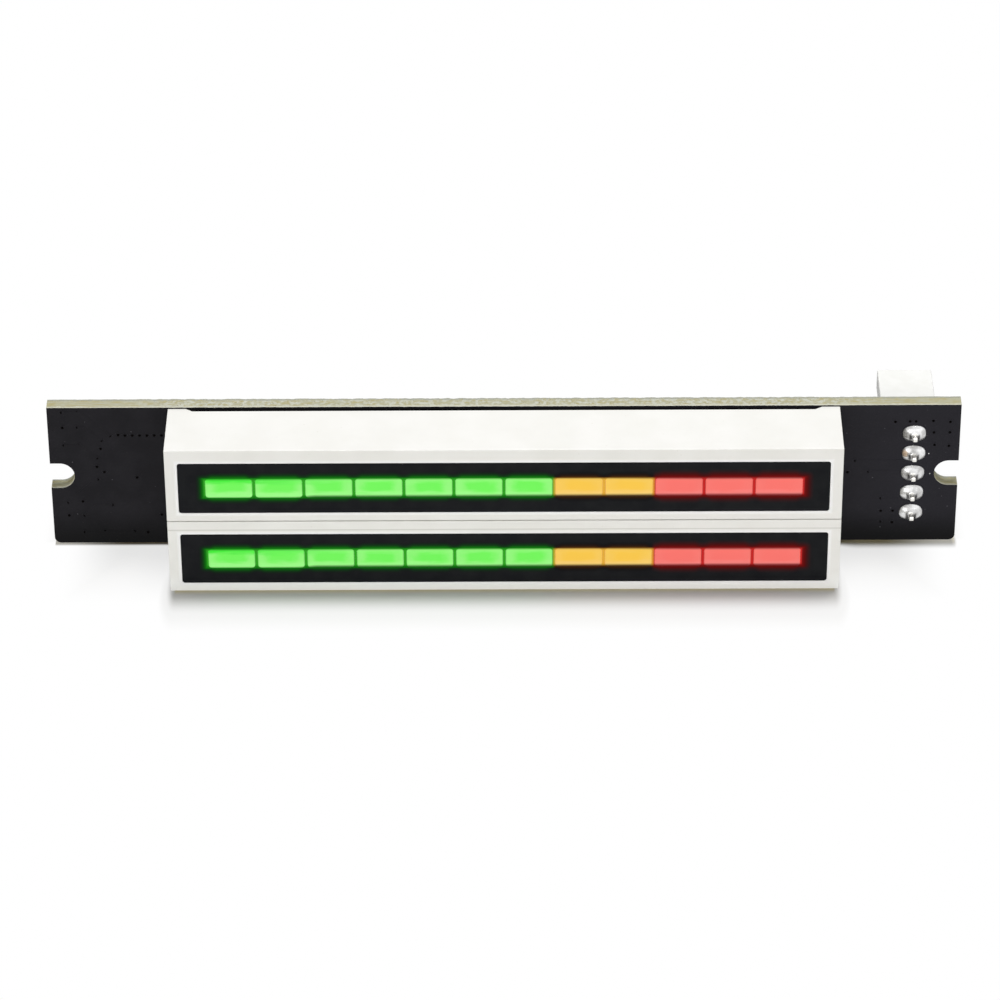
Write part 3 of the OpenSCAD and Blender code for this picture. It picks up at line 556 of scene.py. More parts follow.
tinned = grained("tinned_lead", (196, 196, 198), (214, 213, 212), 0.4, 0.34, 0.004, metal=1.0)
chip_board_finish = grained("chip_board_mask", (46, 104, 58), (58, 122, 68), 0.8, 0.4, 0.004)
light_chip_finish = grained("light_chip", (206, 196, 120), (222, 212, 150), 0.1, 0.2)
resin_finish = grained("poured_resin", (226, 220, 188), (234, 230, 204), 1.5, 0.15, 0.01)
for row in ("upper", "lower"):
    carry(row + "_chip_board", chip_board_finish)
    carry(row + "_light_chips", light_chip_finish)
    carry(row + "_resin_fill", resin_finish)
    eased_piece(row + "_pin_posts", row + "_pins", "tinned_lead", tinned, (0.06, 1))


# Display housings. Two identical white plastic mouldings, glossy from the mould, with slightly eased
# edges. Each has a shallow recess for its black face, and a foot at each end that seats on the board.
film_l, film_h, film_drop = 67.9, 6.2, 0.3
housing_edge = 0.055
recess_edge = 0.05


def housing_plastic():
    """White plastic with faint flow marks, with a painted highlight on the lip round each recess,
    painted light from the table toward its foot, and a soft painted shade line over the lower recess."""
    material, place = bare_finish("housing_plastic", gloss=0.4)
    x, y, z = axes_mm(place, "XYZ")
    front = y < -7.5
    upper, lower = (z - (display_z[row] - film_drop) for row in ("upper", "lower"))
    lip = larger(abs(x) - film_l / 2, smaller(abs(upper), abs(lower)) - film_h / 2)
    crease_shade = abs(lower - (film_h / 2 + 0.54))
    cloud = cloudy(place, 5)
    marks = graded(cloudy(place, 0.35, 2.0), 0.70, 0.76)
    tint = between(drift(cloud), (242, 241, 236), (246, 245, 241))
    tint = between(marks * 0.35, tint, (222, 219, 208))
    # Painted light: the lower housing's front grows paler toward its foot, as if lit from the table.
    tint = between(graded(lower, -1.6, -3.3) * front, tint, (254, 254, 251))
    # Painted shade: a soft grey line over the lower recess, as of a crease.
    tint = between(graded(crease_shade, 0.13, 0.03, 0.0, 0.75) * front, tint, (217, 216, 209))
    # Painted highlight: the lip round each recess is brighter.
    tint = between(graded(lip, 0.42, 0.16) * front, tint, (254, 254, 253))
    return coat(material, Base_Color=tint, Roughness=drift(cloud, 0.28, 0.36),
                Normal=raised(cloudy(place, 0.6), 0.004))


white_plastic = housing_plastic()
for row in ("upper", "lower"):
    low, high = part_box(row + "_housing")

    def outer_sides(point):
        """Which of the housing's outer faces a point lies on: an end, the front, the top or bottom."""
        flush = 0.02 * MM
        return [abs(point.x - low.x) < flush or abs(point.x - high.x) < flush,
                abs(point.y - low.y) < flush,
                abs(point.z - low.z) < flush or abs(point.z - high.z) < flush]

    def on_outer_edge(edge):
        """Whether an edge lies between two of those faces."""
        ends = [outer_sides(vert.co) for vert in edge.verts]
        return sum(all(pair) for pair in zip(*ends)) >= 2

    def on_recess_rim(edge):
        """Whether an edge lies on the front only, which holds for the recess rim."""
        ends = [outer_sides(vert.co) for vert in edge.verts]
        return all(end[1] and sum(end) == 1 for end in ends)

    eased_piece(row + "_housing_shell", row + "_housing", "white_plastic", white_plastic,
                (recess_edge, 2, on_recess_rim), (housing_edge, 3, on_outer_edge))


# Light bars. Clear resin tinted green, amber or red and clouded so that a chip behind lights the
# whole bar: paler at the ends and rims, deeper in the middle. Each tapers back to its chip.
segment_n = 12
segment_w, segment_h = 4.908, 2.35
segment_pitch = 5.208
row_half = (segment_pitch * segment_n - (segment_pitch - segment_w)) / 2
bar_draft = 0.5
bar_corner_r = 0.36
bar_front, bar_back = 7.985, 3.2
lit_share = 0.40
unlit_share = 0.66
groups = (("green", 0, 7), ("amber", 7, 9), ("red", 9, 12))
# Each bar: its middle, its ends, its lower rim, its upper rim, its end edges, its long edges.
bar_colours = {
    "green": ((117, 250, 94), (150, 251, 128), (160, 255, 140), (66, 238, 54), (52, 162, 38), (26, 92, 20)),
    "amber": ((253, 203, 77), (252, 206, 94), (252, 210, 120), (251, 203, 86), (230, 174, 66), (52, 32, 10)),
    "red": ((253, 119, 111), (252, 123, 115), (251, 131, 127), (252, 120, 112), (200, 44, 42), (112, 22, 24)),
}


def ring(half_w, half_h, r, z, steps=5):
    """Corner-rounded outline at one height, for a stack."""
    points = []
    for x, y, start in ((1, -1, -90), (1, 1, 0), (-1, 1, 90), (-1, -1, 180)):
        points += arc(x * (half_w - r), y * (half_h - r), r, start, start + 90, steps)
    return [(x, y, z) for x, y in points]


def stack(shape, outlines, at=(0, 0)):
    """Joins outlines of equal count into one closed solid. Its two ends are its first faces."""
    rows = [[shape.verts.new((x + at[0], y + at[1], z)) for x, y, z in line] for line in outlines]
    faces = [shape.faces.new(list(reversed(rows[0]))), shape.faces.new(rows[-1])]
    for low_row, high_row in zip(rows, rows[1:]):
        for i, low in enumerate(low_row):
            j = (i + 1) % len(low_row)
            faces.append(shape.faces.new((low, low_row[j], high_row[j], high_row[i])))
    return faces


def bar_light(name, middle, ends, lower_rim, upper_rim, end_edge, long_edge):
    """The look of a lit bar, by the place within its own bar that its map gives."""
    material, place = bare_finish(name, gloss=0.15)
    x = axes_mm(place, "X")[0]
    map_x, map_y = axes(step(place.tree, "ShaderNodeUVMap", uv_map="bar"), "XY")
    out = abs(map_x - 0.5)
    up = map_y - 0.5 + drift(cloudy(stretched(place, 0.18, 1.0, 1.0), 0.5), -0.07, 0.07)
    tint = between(graded(out + drift(cloudy(place, 1.6), -0.06, 0.06), 0.2, 0.47), middle, ends)
    tint = between(graded(up, -0.08, -0.36), tint, lower_rim)
    tint = between(graded(up, 0.2, 0.42, 0.0, 0.8), tint, ends)
    tint = between(graded(up, 0.12, 0.44) * graded(x, -30, -12, 1.0, 0.0), tint, upper_rim)
    tint = between(graded((0.5 - out) * segment_w, 0.12, -0.10), tint, end_edge)
    from_foot = map_y * segment_h
    from_head = segment_h - from_foot - graded(x, 8, 22, 0.0, 0.10)
    from_foot = from_foot + graded(x, -22, -19.5, 0.22, 0.0) - graded(x, -10, 30, 0.0, 0.06)
    dimmed = larger(graded(from_foot, 0.44, 0.03), graded(from_head, 0.25, -0.15))
    tint = between(dimmed, tint, long_edge)
    body = step(place.tree, "ShaderNodeVectorMath", {0: tint, 1: (unlit_share,) * 3}, operation="MULTIPLY")
    return coat(material, Base_Color=body, Roughness=0.3, Normal=raised(cloudy(place, 0.5), 0.004),
                Emission_Color=tint, Emission_Strength=lit_share)


def drawn_piece(name, shape, lay, finish, slot, *stands_for, body="module"):
    """Ends a drawing of one finish and fits it as a piece."""
    fit_piece(name, mesh_from(shape, name, lay, finish), stands_for, body)


def display_lay(row):
    """Lays a shape on the board's front, on the middle line of a display's segments."""
    return on_front @ Matrix.Translation((0, display_z[row] - film_drop, 0))


bar_finishes = {name: bar_light(name + "_bar", *looks) for name, looks in bar_colours.items()}
bar_outlines = [ring(segment_w / 2 - inset, segment_h / 2 - inset, r, z) for inset, r, z in (
    (bar_draft, 0.1, bar_back), (0.03, bar_corner_r, bar_front - 0.3),
    (0.01, bar_corner_r, bar_front - 0.02), (0.03, bar_corner_r - 0.02, bar_front))]
for row in ("upper", "lower"):
    for name, first, last in groups:
        shape = bmesh.new()
        maps = shape.loops.layers.uv.new("bar")
        for i in range(first, last):
            middle = (i - (segment_n - 1) / 2) * segment_pitch
            for face in stack(shape, bar_outlines, (middle, 0)):
                for loop in face.loops:
                    x, y = loop.vert.co.x - middle, loop.vert.co.y
                    loop[maps].uv = (x / segment_w + 0.5, y / segment_h + 0.5)
        drawn_piece(f"{row}_{name}_lights", shape, display_lay(row), bar_finishes[name], name + "_light",
                    f"{row}_{name}_bars")


# Black faces. A satin black film 0.15 mm thick lies in the recess of each housing, with a window for
# each bar. The light that creeps sideways out of the bars is painted into the film as a glow, in the colour
# of the bar.
film_t = 0.15
film_corner_r = 0.3
film_gap = 0.015
film_roll = 0.05
film_front = 7.996
glow_reach = 1.15
glow_past_end = 0.15
glow_steps = {
    "green": ((0.0, (30, 134, 24)), (0.1, (12, 118, 8)), (0.2, (4, 97, 4)), (0.32, (2, 73, 4)),
              (0.45, (0, 50, 4)), (0.57, (0, 33, 4)), (0.7, (0, 18, 2)), (0.85, (0, 0, 0))),
    "amber": ((0.0, (112, 74, 18)), (0.08, (82, 50, 8)), (0.2, (50, 26, 0)), (0.33, (34, 14, 0)),
              (0.48, (18, 4, 0)), (0.62, (0, 0, 0))),
    "red": ((0.0, (126, 22, 22)), (0.1, (110, 6, 6)), (0.2, (97, 2, 2)), (0.33, (82, 0, 0)),
            (0.46, (67, 0, 0)), (0.6, (51, 0, 0)), (0.75, (36, 0, 0)), (0.9, (20, 0, 0)),
            (1.05, (0, 0, 0))),
}
gap_colours = {"green": (50, 158, 36), "amber": (226, 170, 64), "red": (192, 40, 38)}


def glow(distance, steps):
    """The light of one colour in the film, by its distance from a bar, in mm."""
    light = step(distance.tree, "ShaderNodeValToRGB", {"Fac": distance / glow_reach})
    stops = light.socket.node.color_ramp.elements
    for stop, (reach, tint) in zip([stops[0], stops[1]], (steps[0], steps[-1])):
        stop.position = reach / glow_reach
        stop.color = colour(*tint)
    for reach, tint in steps[1:-1]:
        stops.new(reach / glow_reach).color = colour(*tint)
    return light


def film_black(row):
    """Satin black, with the painted glow of the bars of one display, and painted shade right round each
    window.
    """
    material, place = bare_finish(row + "_film", gloss=0.05)
    x, z = axes_mm(place, "XZ")
    z = z - (display_z[row] - film_drop)
    beyond = larger(abs(x) - (row_half + glow_past_end), 0.0)
    along = (x + (row_half + 10 * segment_pitch)) % segment_pitch
    from_middle = abs(along - segment_w / 2)
    above = larger(abs(z) - segment_h / 2, 0.0)
    weaker = graded(z, 0.4 - segment_h / 2, -segment_h / 2) * graded(x, -22, -19.5, 0.04, 0.17)
    dip = graded(from_middle, segment_w / 2 - 0.8, segment_w / 2, 0.0, 0.2) * graded(above, 0.0, 0.2)
    above = above + (weaker + dip)
    in_gap = larger(smaller(along - segment_w, segment_pitch - along), 0.0)
    among_bars = beyond < 0.0001
    sideways = beyond + in_gap * among_bars
    distance = root(above * above + sideways * sideways)
    # Painted glow: the film gives out the bars' light as its own emission, fading away from each bar.
    light = glow(distance, glow_steps["green"])
    gap_light = gap_colours["green"]
    for name, first, last in groups[1:]:
        border = first * segment_pitch - row_half - (segment_pitch - segment_w) / 2
        share = graded(x, border - 0.25, border + 0.25)
        light = between(share, light, glow(distance, glow_steps[name]))
        gap_light = between(share, gap_light, gap_colours[name])
    in_row = (graded(z, 0.05 - segment_h / 2, 0.45 - segment_h / 2)
              * graded(z, segment_h / 2 + 0.1, segment_h / 2 - 0.25) * among_bars)
    tint = between(drift(cloudy(place, 2)), (23, 24, 27), (29, 30, 32))
    # Painted shade: the film's base colour darkens to near black right round each window.
    return coat(material, Base_Color=between(graded(distance, 0.2, 1.0), (3, 3, 3), tint),
                Roughness=drift(cloudy(place, 0.2), 0.30, 0.38), Normal=raised(cloudy(place, 0.15), 0.002),
                Emission_Color=between(in_row, light, gap_light), Emission_Strength=1.0)


for row in ("upper", "lower"):
    name = row + "_black_face"
    window = ring(segment_w / 2, segment_h / 2, bar_corner_r, 0)
    windows = [[(x + (i - (segment_n - 1) / 2) * segment_pitch, y) for x, y, z in window]
               for i in range(segment_n)]
    outline = [(x, y) for x, y, z in ring(film_l / 2 - film_gap, film_h / 2 - film_gap, film_corner_r, 0)]
    shape = plate(name, outline, windows, film_t)
    bmesh.ops.recalc_face_normals(shape, faces=shape.faces)
    rim = [edge for edge in shape.edges if edge.calc_face_angle() > 1 and all(
        vert.co.z > 0 and (abs(vert.co.x) > row_half + 1 or abs(vert.co.y) > segment_h)
        for vert in edge.verts)]
    bmesh.ops.bevel(shape, geom=rim, offset=film_roll, segments=3, profile=0.5, affect="EDGES")
    lay = display_lay(row) @ Matrix.Translation((0, 0, film_front - film_t / 2))
    drawn_piece(name, shape, lay, film_black(row), "black_film", row + "_face_film")


# Rear solder joints. The display pins come through plated holes and are soldered by hand on the back:
# each joint rises from its pad in a bright hollow cone, and the end of the pin stands out of it.
joint_foot_r, joint_top_r, joint_h = 0.9, 0.4, 0.9
solder = grained("solder", (208, 208, 208), (224, 223, 220), 0.5, 0.2, 0.004, metal=1.0)


def cone_tree():
    """A hollow-sided cone on each point, a little uneven from one to the next."""
    tree, sizes = new_tree("solder_cones", "Foot", "Top", "Height", "Number of steps")
    tip = step(tree, "ShaderNodeCombineXYZ", {"Z": sizes["Height"]})
    line = step(tree, "GeometryNodeCurvePrimitiveLine", {"End": tip}, mode="POINTS")
    stepped = step(tree, "GeometryNodeResampleCurve", {
        "Curve": line, "Count": sizes["Number of steps"]}, mode="COUNT")
    up = step(tree, "GeometryNodeSplineParameter")
    radius = sizes["Foot"] - (sizes["Foot"] - sizes["Top"]) * root(up * (2.0 - up))
    circle = step(tree, "GeometryNodeCurvePrimitiveCircle", {"Resolution": 24, "Radius": 1.0}, mode="RADIUS")
    cone = swept(tree, stepped, circle, **{"Scale": radius, "Fill Caps": True})
    size = step(tree, "FunctionNodeRandomValue", {0: (0.88, 0.88, 0.9), 1: (1.0, 1.0, 1.0), "Seed": 7},
                data_type="FLOAT_VECTOR")
    return end_tree(tree, sizes, copies(tree, sizes["Geometry"], cone, Scale=size), smooth=True)


cones = cone_tree()
for row in ("upper", "lower"):
    spots = [[(-x, display_z[row])] for x in display_pin_x]
    grown_piece(row + "_solder_cones", spots, cones, on_back, solder, "solder", row + "_pin_joints",
                Foot=joint_foot_r, Top=joint_top_r, Height=joint_h, Number_of_steps=10)


# Connector. A white nylon shell on the back, with two keying slots, holds five square contacts. Their
# ends come through to the front, where oval pads are soldered by hand, brighter at the rim and
# drawn up round each contact. Flux and two tiny balls of solder are left beside them.
oval_l, oval_w, oval_h = 2.57, 2.03, 0.65
oval_top_r = 0.37
ball_r = 0.08
ball_places = ((1.6, 2.5), (1.8, -0.05))
nylon = grained("connector_nylon", (245, 245, 241), (249, 249, 246), 1.2, 0.42, 0.005, gloss=0.3)
tinned_brass = grained("tinned_brass", (226, 224, 218), (236, 234, 229), 0.3, 0.42, 0.004, metal=1.0)
eased_piece("connector_shell_moulding", "connector_shell", "connector_nylon", nylon, (0.12, 2))
eased_piece("connector_contacts", "connector_pins", "tinned_brass", tinned_brass, (0.11, 2))


def hand_solder():
    """Bright solder that dulls in places, with a painted dark reflection at both sides of each contact and
    amber flux on one.
    """
    material, place = bare_finish("hand_solder", metal=1.0)
    x, z = axes_mm(place, "XZ")
    beside = abs(x - contact_x)
    below = (z + 6.25) % 2.5 - 1.25
    # Painted reflection: dark patches at both sides of each contact, just below its middle, where the solder
    # mirrors the dark board.
    dark_reflection = (graded(beside, 0.22, 0.32) * graded(beside, 0.66, 0.46)
             * graded(below, 0.28, 0.0) * graded(below, -0.95, -0.7))
    flux_place = ((contact_x - 0.95) * MM, -0.2 * MM, 2.6 * MM)
    flux = step(place.tree, "ShaderNodeVectorMath", {0: place, 1: flux_place}, "Value", operation="DISTANCE")
    tint = between(graded(cloudy(place, 1.3), 0.36, 0.64), (240, 240, 240), (186, 185, 184))
    tint = between(dark_reflection * 0.85, tint, (46, 43, 42))
    tint = between(graded(flux, 0.55 * MM, 0.2 * MM, 0.0, 0.85), tint, (240, 208, 176))
    return coat(material, Base_Color=tint, Roughness=drift(cloudy(place, 0.3), 0.22, 0.34),
                Normal=raised(cloudy(place, 0.5), 0.02))


def oval_joint(shape, y, wave):
    """One oval joint: a low full rim that then sweeps up the contact in a hollow curve."""
    turns, climbs, fullness = 48, 14, 2.45
    rows = []
    for j in range(climbs + 1):
        t = j / climbs
        h = oval_h * (0.5 * (1 - (1 - t) ** 3) + 0.5 * t ** 3)
        row = []
        for i in range(turns):
            turn = 2 * math.pi * i / turns
            round_x, round_y = math.cos(turn), math.sin(turn)
            full = (abs(round_x) ** fullness + abs(round_y) ** fullness) ** (-1 / fullness)
            full = full * (1 - t) + t
            ripple = 1 - 0.015 * (1 + math.sin(3 * turn + wave)) * (1 - t)
            long = (oval_l / 2 * ripple) * (1 - t) + oval_top_r * t
            wide = (oval_w / 2 * ripple) * (1 - t) + oval_top_r * t
            row.append((long * full * round_x, y + wide * full * round_y, h))
        rows.append(row)
    for face in stack(shape, rows)[2:]:
        face.smooth = True


shape = bmesh.new()
for order, z in enumerate(contact_z):
    oval_joint(shape, z, 1.7 * order)
for x, z in ball_places:
    ball = bmesh.ops.create_uvsphere(shape, u_segments=12, v_segments=8, radius=ball_r)
    bmesh.ops.translate(shape, verts=ball["verts"], vec=(x, z, ball_r - 0.01))
drawn_piece("connector_solder", shape, on_front @ Matrix.Translation((contact_x, 0, 0)), hand_solder(),
            "solder", "connector_joints")


# Microcontroller. A flat square package of black moulded epoxy, drafted above and below its parting
# line, with a dimple at pin one and eight gull-wing leads a side, soldered to pads on the back.
chip_half, chip_bottom, chip_top = 3.5, 0.1, 1.5
package_draft, package_flat, package_corner_r = 0.12, 0.05, 0.12
dimple_r, dimple_depth, dimple_at, dimple_points = 0.4, 0.1, 2.7, 24
epoxy = grained("moulded_epoxy", (34, 34, 36), (42, 42, 44), 0.12, 0.62, 0.012, gloss=0.3)


def package(shape, half_l, half_w, bottom, top, at=(0, 0)):
    """A moulded package, widest at its parting line, with small flats round its faces."""
    middle = (bottom + top) / 2
    face_in, side_in = package_draft + package_flat, package_draft
    stack(shape, [ring(half_l - inset, half_w - inset, package_corner_r, z, 2) for inset, z in (
        (face_in, bottom), (side_in, bottom + package_flat), (0, middle - 0.02),
        (0, middle + 0.02), (side_in, top - package_flat), (face_in, top))], at)


shape = bmesh.new()
package(shape, chip_half, chip_half, chip_bottom, chip_top)
top_face = max(shape.faces, key=lambda face: face.calc_center_median().z)
top_edges = list(top_face.edges)
bmesh.ops.delete(shape, geom=[top_face], context="FACES_ONLY")
dimple = [circle(-dimple_at, dimple_at, r, dimple_points) for r in (dimple_r, dimple_r * 0.8)]
mouth, bed = ([shape.verts.new((x, y, z)) for x, y in points]
              for points, z in zip(dimple, (chip_top, chip_top - dimple_depth)))
mouth_edges = [shape.edges.new((mouth[i], mouth[i - 1])) for i in range(dimple_points)]
bmesh.ops.triangle_fill(shape, edges=top_edges + mouth_edges, use_beauty=True)
for i in range(dimple_points):
    shape.faces.new((mouth[i - 1], mouth[i], bed[i], bed[i - 1]))
shape.faces.new(bed)
chip_lay = on_back @ Matrix.Translation((-chip_x, 0, 0))
drawn_piece("microcontroller_package", shape, chip_lay, epoxy, "moulded_package", "microcontroller_body")


def lead_tree():
    """Bent leads in rows: each follows the seed path, and the rows stand round a package."""
    tree, sizes = new_tree("bent_leads", "Width", "Thickness", "Bend", "Pitch", "Half side",
                           "Number in a row", "Number of rows")
    count, pitch, rows = sizes["Number in a row"], sizes["Pitch"], sizes["Number of rows"]
    start = step(tree, "ShaderNodeCombineXYZ", {"X": sizes["Half side"], "Y": (count - 1.0) * pitch * -0.5})
    apart = step(tree, "ShaderNodeCombineXYZ", {"Y": pitch})
    row = step(tree, "GeometryNodeMeshLine", {"Count": count, "Start Location": start, "Offset": apart})
    leads = copies(tree, row, bent_strip(tree, sizes, 4))
    centre = step(tree, "GeometryNodeMeshLine", {"Count": rows, "Offset": (0, 0, 0)})
    turn = step(tree, "GeometryNodeInputIndex") * (2 * math.pi / rows)
    rotation = step(tree, "ShaderNodeCombineXYZ", {"Z": turn})
    return end_tree(tree, sizes, copies(tree, centre, leads, Rotation=rotation))


def gull_wing(reach, height, thickness, foot):
    """The path of a lead: out of the package, down to the board and flat on its pad."""
    knee, heel = (reach - foot) / 2, reach - foot
    return [(-0.1, 0, height), (knee, 0, height), (heel, 0, thickness / 2), (reach, 0, thickness / 2)]


lead_rows = lead_tree()
grown_piece("microcontroller_pins", [gull_wing(1.0, 0.8, 0.15, 0.5)], lead_rows, chip_lay, tinned,
            "tinned_lead", "microcontroller_leads", Width=0.37, Thickness=0.15, Bend=0.12,
            Pitch=chip_pitch, Half_side=chip_half, Number_in_a_row=8, Number_of_rows=4)


# Reflowed solder. A tinned pad lies under each lead of the microcontroller and each end of the small
# resistors and capacitors. The solder on it forms a low pillow that the metal is sunk in.
lead_pad, lead_reach = (0.95, 0.5), 4.35
resistor_pad, resistor_reach, resistor_rise = (0.75, 0.95), 0.8, 0.16
capacitor_pad, capacitor_reach, capacitor_rise = (0.8, 1.4), 0.95, 0.22
pad_finish = grained("reflowed_solder", (198, 198, 199), (218, 217, 214), 0.25, 0.28, 0.008, metal=1.0)


def pillow(shape, x, z, length, width, rise=0.1):
    """One pad with its solder, at a place seen from the front."""
    half_l, half_w = length / 2, width / 2
    r = 0.3 * min(half_l, half_w)
    stack(shape, [
        ring(half_l, half_w, r, 0, 2),
        ring(half_l, half_w, r, 0.02, 2),
        ring(half_l * 0.88, half_w * 0.84, r * 0.9, rise * 0.7, 2),
        ring(half_l * 0.6, half_w * 0.5, r * 0.6, rise, 2),
    ], (-x, z))


shape = bmesh.new()
for k in range(8):
    along = (k - 3.5) * chip_pitch
    for side in (-lead_reach, lead_reach):
        pillow(shape, chip_x + side, along, *lead_pad)
        pillow(shape, chip_x + along, side, *lead_pad[::-1])
flat_resistors = [(chip_x - 2.9, 6.3), (chip_x, 6.3), (chip_x + 2.9, 6.3), (chip_x - 2.9, -6.3),
                  (-7.62, 6.8), (-2.54, 6.8), (22.86, -7.3)]
small_capacitors = [(chip_x, -6.3), (chip_x + 2.9, -6.3)]
small_capacitors += [(x, 6.8) for x in (-12.7, 2.54, 12.7, 22.86, 27.94)] + [(27.94, -7.3)]
for x in segment_resistor_x:
    for side in (-resistor_reach, resistor_reach):
        pillow(shape, x, upright_z + side, *resistor_pad[::-1], resistor_rise)
for x, z in flat_resistors:
    for side in (-resistor_reach, resistor_reach):
        pillow(shape, x + side, z, *resistor_pad, resistor_rise)
for x, z in small_capacitors:
    for side in (-capacitor_reach, capacitor_reach):
        pillow(shape, x + side, z, *capacitor_pad, capacitor_rise)
drawn_piece("reflowed_pads", shape, on_back, pad_finish, "solder")


# Power supply. A moulded regulator with its tab soldered flat, the reservoir capacitor in its
# aluminium can crimped onto a chamfered base, and a moulded diode whose band marks the cathode.
supply_x = 35.6
can_z, regulator_z, diode_z = 0.2, 5.4, -5.8
# Half length, half width, bottom and top of each package.
regulator_size = (2.25, 1.25, 0.02, 1.5)
diode_size = (2.15, 1.3, 0.2, 2.2)
band_from, band_to = 1.1, 1.75
print_low, print_from = 5.3, 1.25


def supply_lay(z):
    """Lays a shape on the back, in the column of the power supply."""
    return on_back @ Matrix.Translation((-supply_x, z, 0))


def banded_epoxy():
    """Black epoxy with one pale band across the cathode end."""
    material, place = bare_finish("banded_epoxy", gloss=0.3)
    x = axes(place, "X")[0]
    band = (x > (supply_x + band_from) * MM) * (x < (supply_x + band_to) * MM)
    dark = between(cloudy(place, 0.12), (34, 34, 36), (42, 42, 44))
    return coat(material, Base_Color=between(band, dark, (176, 176, 172)), Roughness=0.6,
                Normal=raised(cloudy(place, 0.05), 0.012))


shape = bmesh.new()
package(shape, *regulator_size)
drawn_piece("regulator_package", shape, supply_lay(regulator_z), epoxy, "moulded_package", "regulator_body")
eased_piece("regulator_tabs", "regulator_leads", "tinned_lead", tinned, (0.05, 1))
shape = bmesh.new()
package(shape, *diode_size)
drawn_piece("diode_package", shape, supply_lay(diode_z), banded_epoxy(), "moulded_package", "diode_body")
eased_piece("diode_straps", "diode_terminals", "tinned_lead", tinned, (0.06, 1))
base_black = grained("base_black", (30, 30, 32), (38, 38, 40), 0.3, 0.5, 0.008, gloss=0.35)
eased_piece("reservoir_seat", "reservoir_base", "moulded_package", base_black, (0.12, 2))
eased_piece("reservoir_tabs", "reservoir_terminals", "tinned_lead", tinned, (0.03, 1))


def lathed(shape, outline, turns=64, at=(0, 0)):
    """Turns an outline of radius and height round an upright axis, closed at both ends on it."""
    rows = []
    for r, h in outline:
        points = circle(*at, r, turns) if r else [at]
        rows.append([shape.verts.new((x, y, h)) for x, y in points])
    for first, second in zip(rows, rows[1:]):
        for i in range(turns):
            j = (i + 1) % turns
            corners = [first[i % len(first)], first[j % len(first)],
                       second[j % len(second)], second[i % len(second)]]
            shape.faces.new(list(dict.fromkeys(corners))).smooth = True


def printed_can():
    """Bare drawn aluminium, brushed round the can, with the printed half-moon at its minus side."""
    material, place = bare_finish("printed_can", metal=1.0)
    x, y = axes(place, "XY")
    printed = (y > (board_t + print_low) * MM) * (x > (supply_x + print_from) * MM)
    drawn = cloudy(stretched(place, 1.0, 9.0, 1.0), 0.8, 5.0)
    bare = between(drawn, (196, 196, 198), (222, 222, 222))
    return coat(material, Base_Color=between(printed, bare, (24, 24, 28)), Metallic=1.0 - printed,
                Roughness=drift(drawn, 0.28, 0.38), Normal=raised(drawn, 0.006))


can_r, can_foot, can_top, can_groove, can_groove_at, can_shoulder_r = 2.5, 0.9, 5.4, 0.25, 1.6, 0.35
groove = [(2 * can_r - r, h) for r, h in arc(can_r, can_groove_at, can_groove, -90, 90, 12)]
shoulder = arc(can_r - can_shoulder_r, can_top - can_shoulder_r, can_shoulder_r, 0, 90, 6)
shape = bmesh.new()
lathed(shape, [(0, can_foot), (can_r - 0.2, can_foot), (can_r, can_foot + 0.15), *groove, *shoulder,
               (can_r - 0.55, can_top - 0.03), (0, can_top - 0.03)])
drawn_piece("reservoir_canister", shape, supply_lay(can_z), printed_can(), "can_aluminium", "reservoir_can")


# Small chips. Two transistors with three bent leads each, nineteen resistors of white ceramic with a
# black glaze on top, and eight tan ceramic capacitors. All have tinned ends and are soldered flat.
transistor_places = [(25.5, 1.2), (25.5, -2.1)]
transistor_size = (1.45, 0.65, 0.1, 1.1)
glaze_low, glaze_high = 0.38, 0.41
packages, legs = bmesh.new(), bmesh.new()
for x, z in transistor_places:
    package(packages, *transistor_size, (-x, z))
    for count, pitch, turn in ((2, 1.9, -90), (1, 0.0, 90)):
        lay = Matrix.Translation((-x, z, 0)) @ Matrix.Rotation(math.radians(turn), 4, "Z")
        legs.from_mesh(grow("transistor_leg", [gull_wing(0.55, 0.6, 0.12, 0.25)], lead_rows, lay, tinned,
                            Width=0.4, Thickness=0.12, Bend=0.08, Half_side=transistor_size[1], Pitch=pitch,
                            Number_in_a_row=count, Number_of_rows=1))
drawn_piece("transistor_packages", packages, on_back, epoxy, "moulded_package", "transistor_bodies")
drawn_piece("transistor_legs", legs, on_back, tinned, "tinned_lead", "transistor_leads")


def glazed_ceramic():
    """White ceramic whose upper face carries a glossy black glaze."""
    material, place = bare_finish("glazed_ceramic")
    glaze = graded(axes(place, "Y")[0], (board_t + glaze_low) * MM, (board_t + glaze_high) * MM)
    white = between(cloudy(place, 0.1), (222, 220, 212), (234, 232, 226))
    black = between(cloudy(place, 0.3), (20, 20, 24), (30, 30, 34))
    return coat(material, Base_Color=between(glaze, white, black),
                Roughness=graded(glaze, 0.0, 1.0, 0.55, 0.18), Normal=raised(cloudy(place, 0.1), 0.004))


tan_ceramic = grained("tan_ceramic", (158, 124, 88), (172, 140, 104), 0.3, 0.42, 0.006)
eased_piece("resistor_chips", "resistor_bodies", "resistor_glaze", glazed_ceramic(), (0.03, 2))
eased_piece("resistor_ends", "resistor_caps", "solder", tinned, (0.05, 2))
eased_piece("capacitor_chips", "capacitor_bodies", "capacitor_ceramic", tan_ceramic, (0.05, 2))
eased_piece("capacitor_ends", "capacitor_caps", "solder", tinned, (0.09, 2))


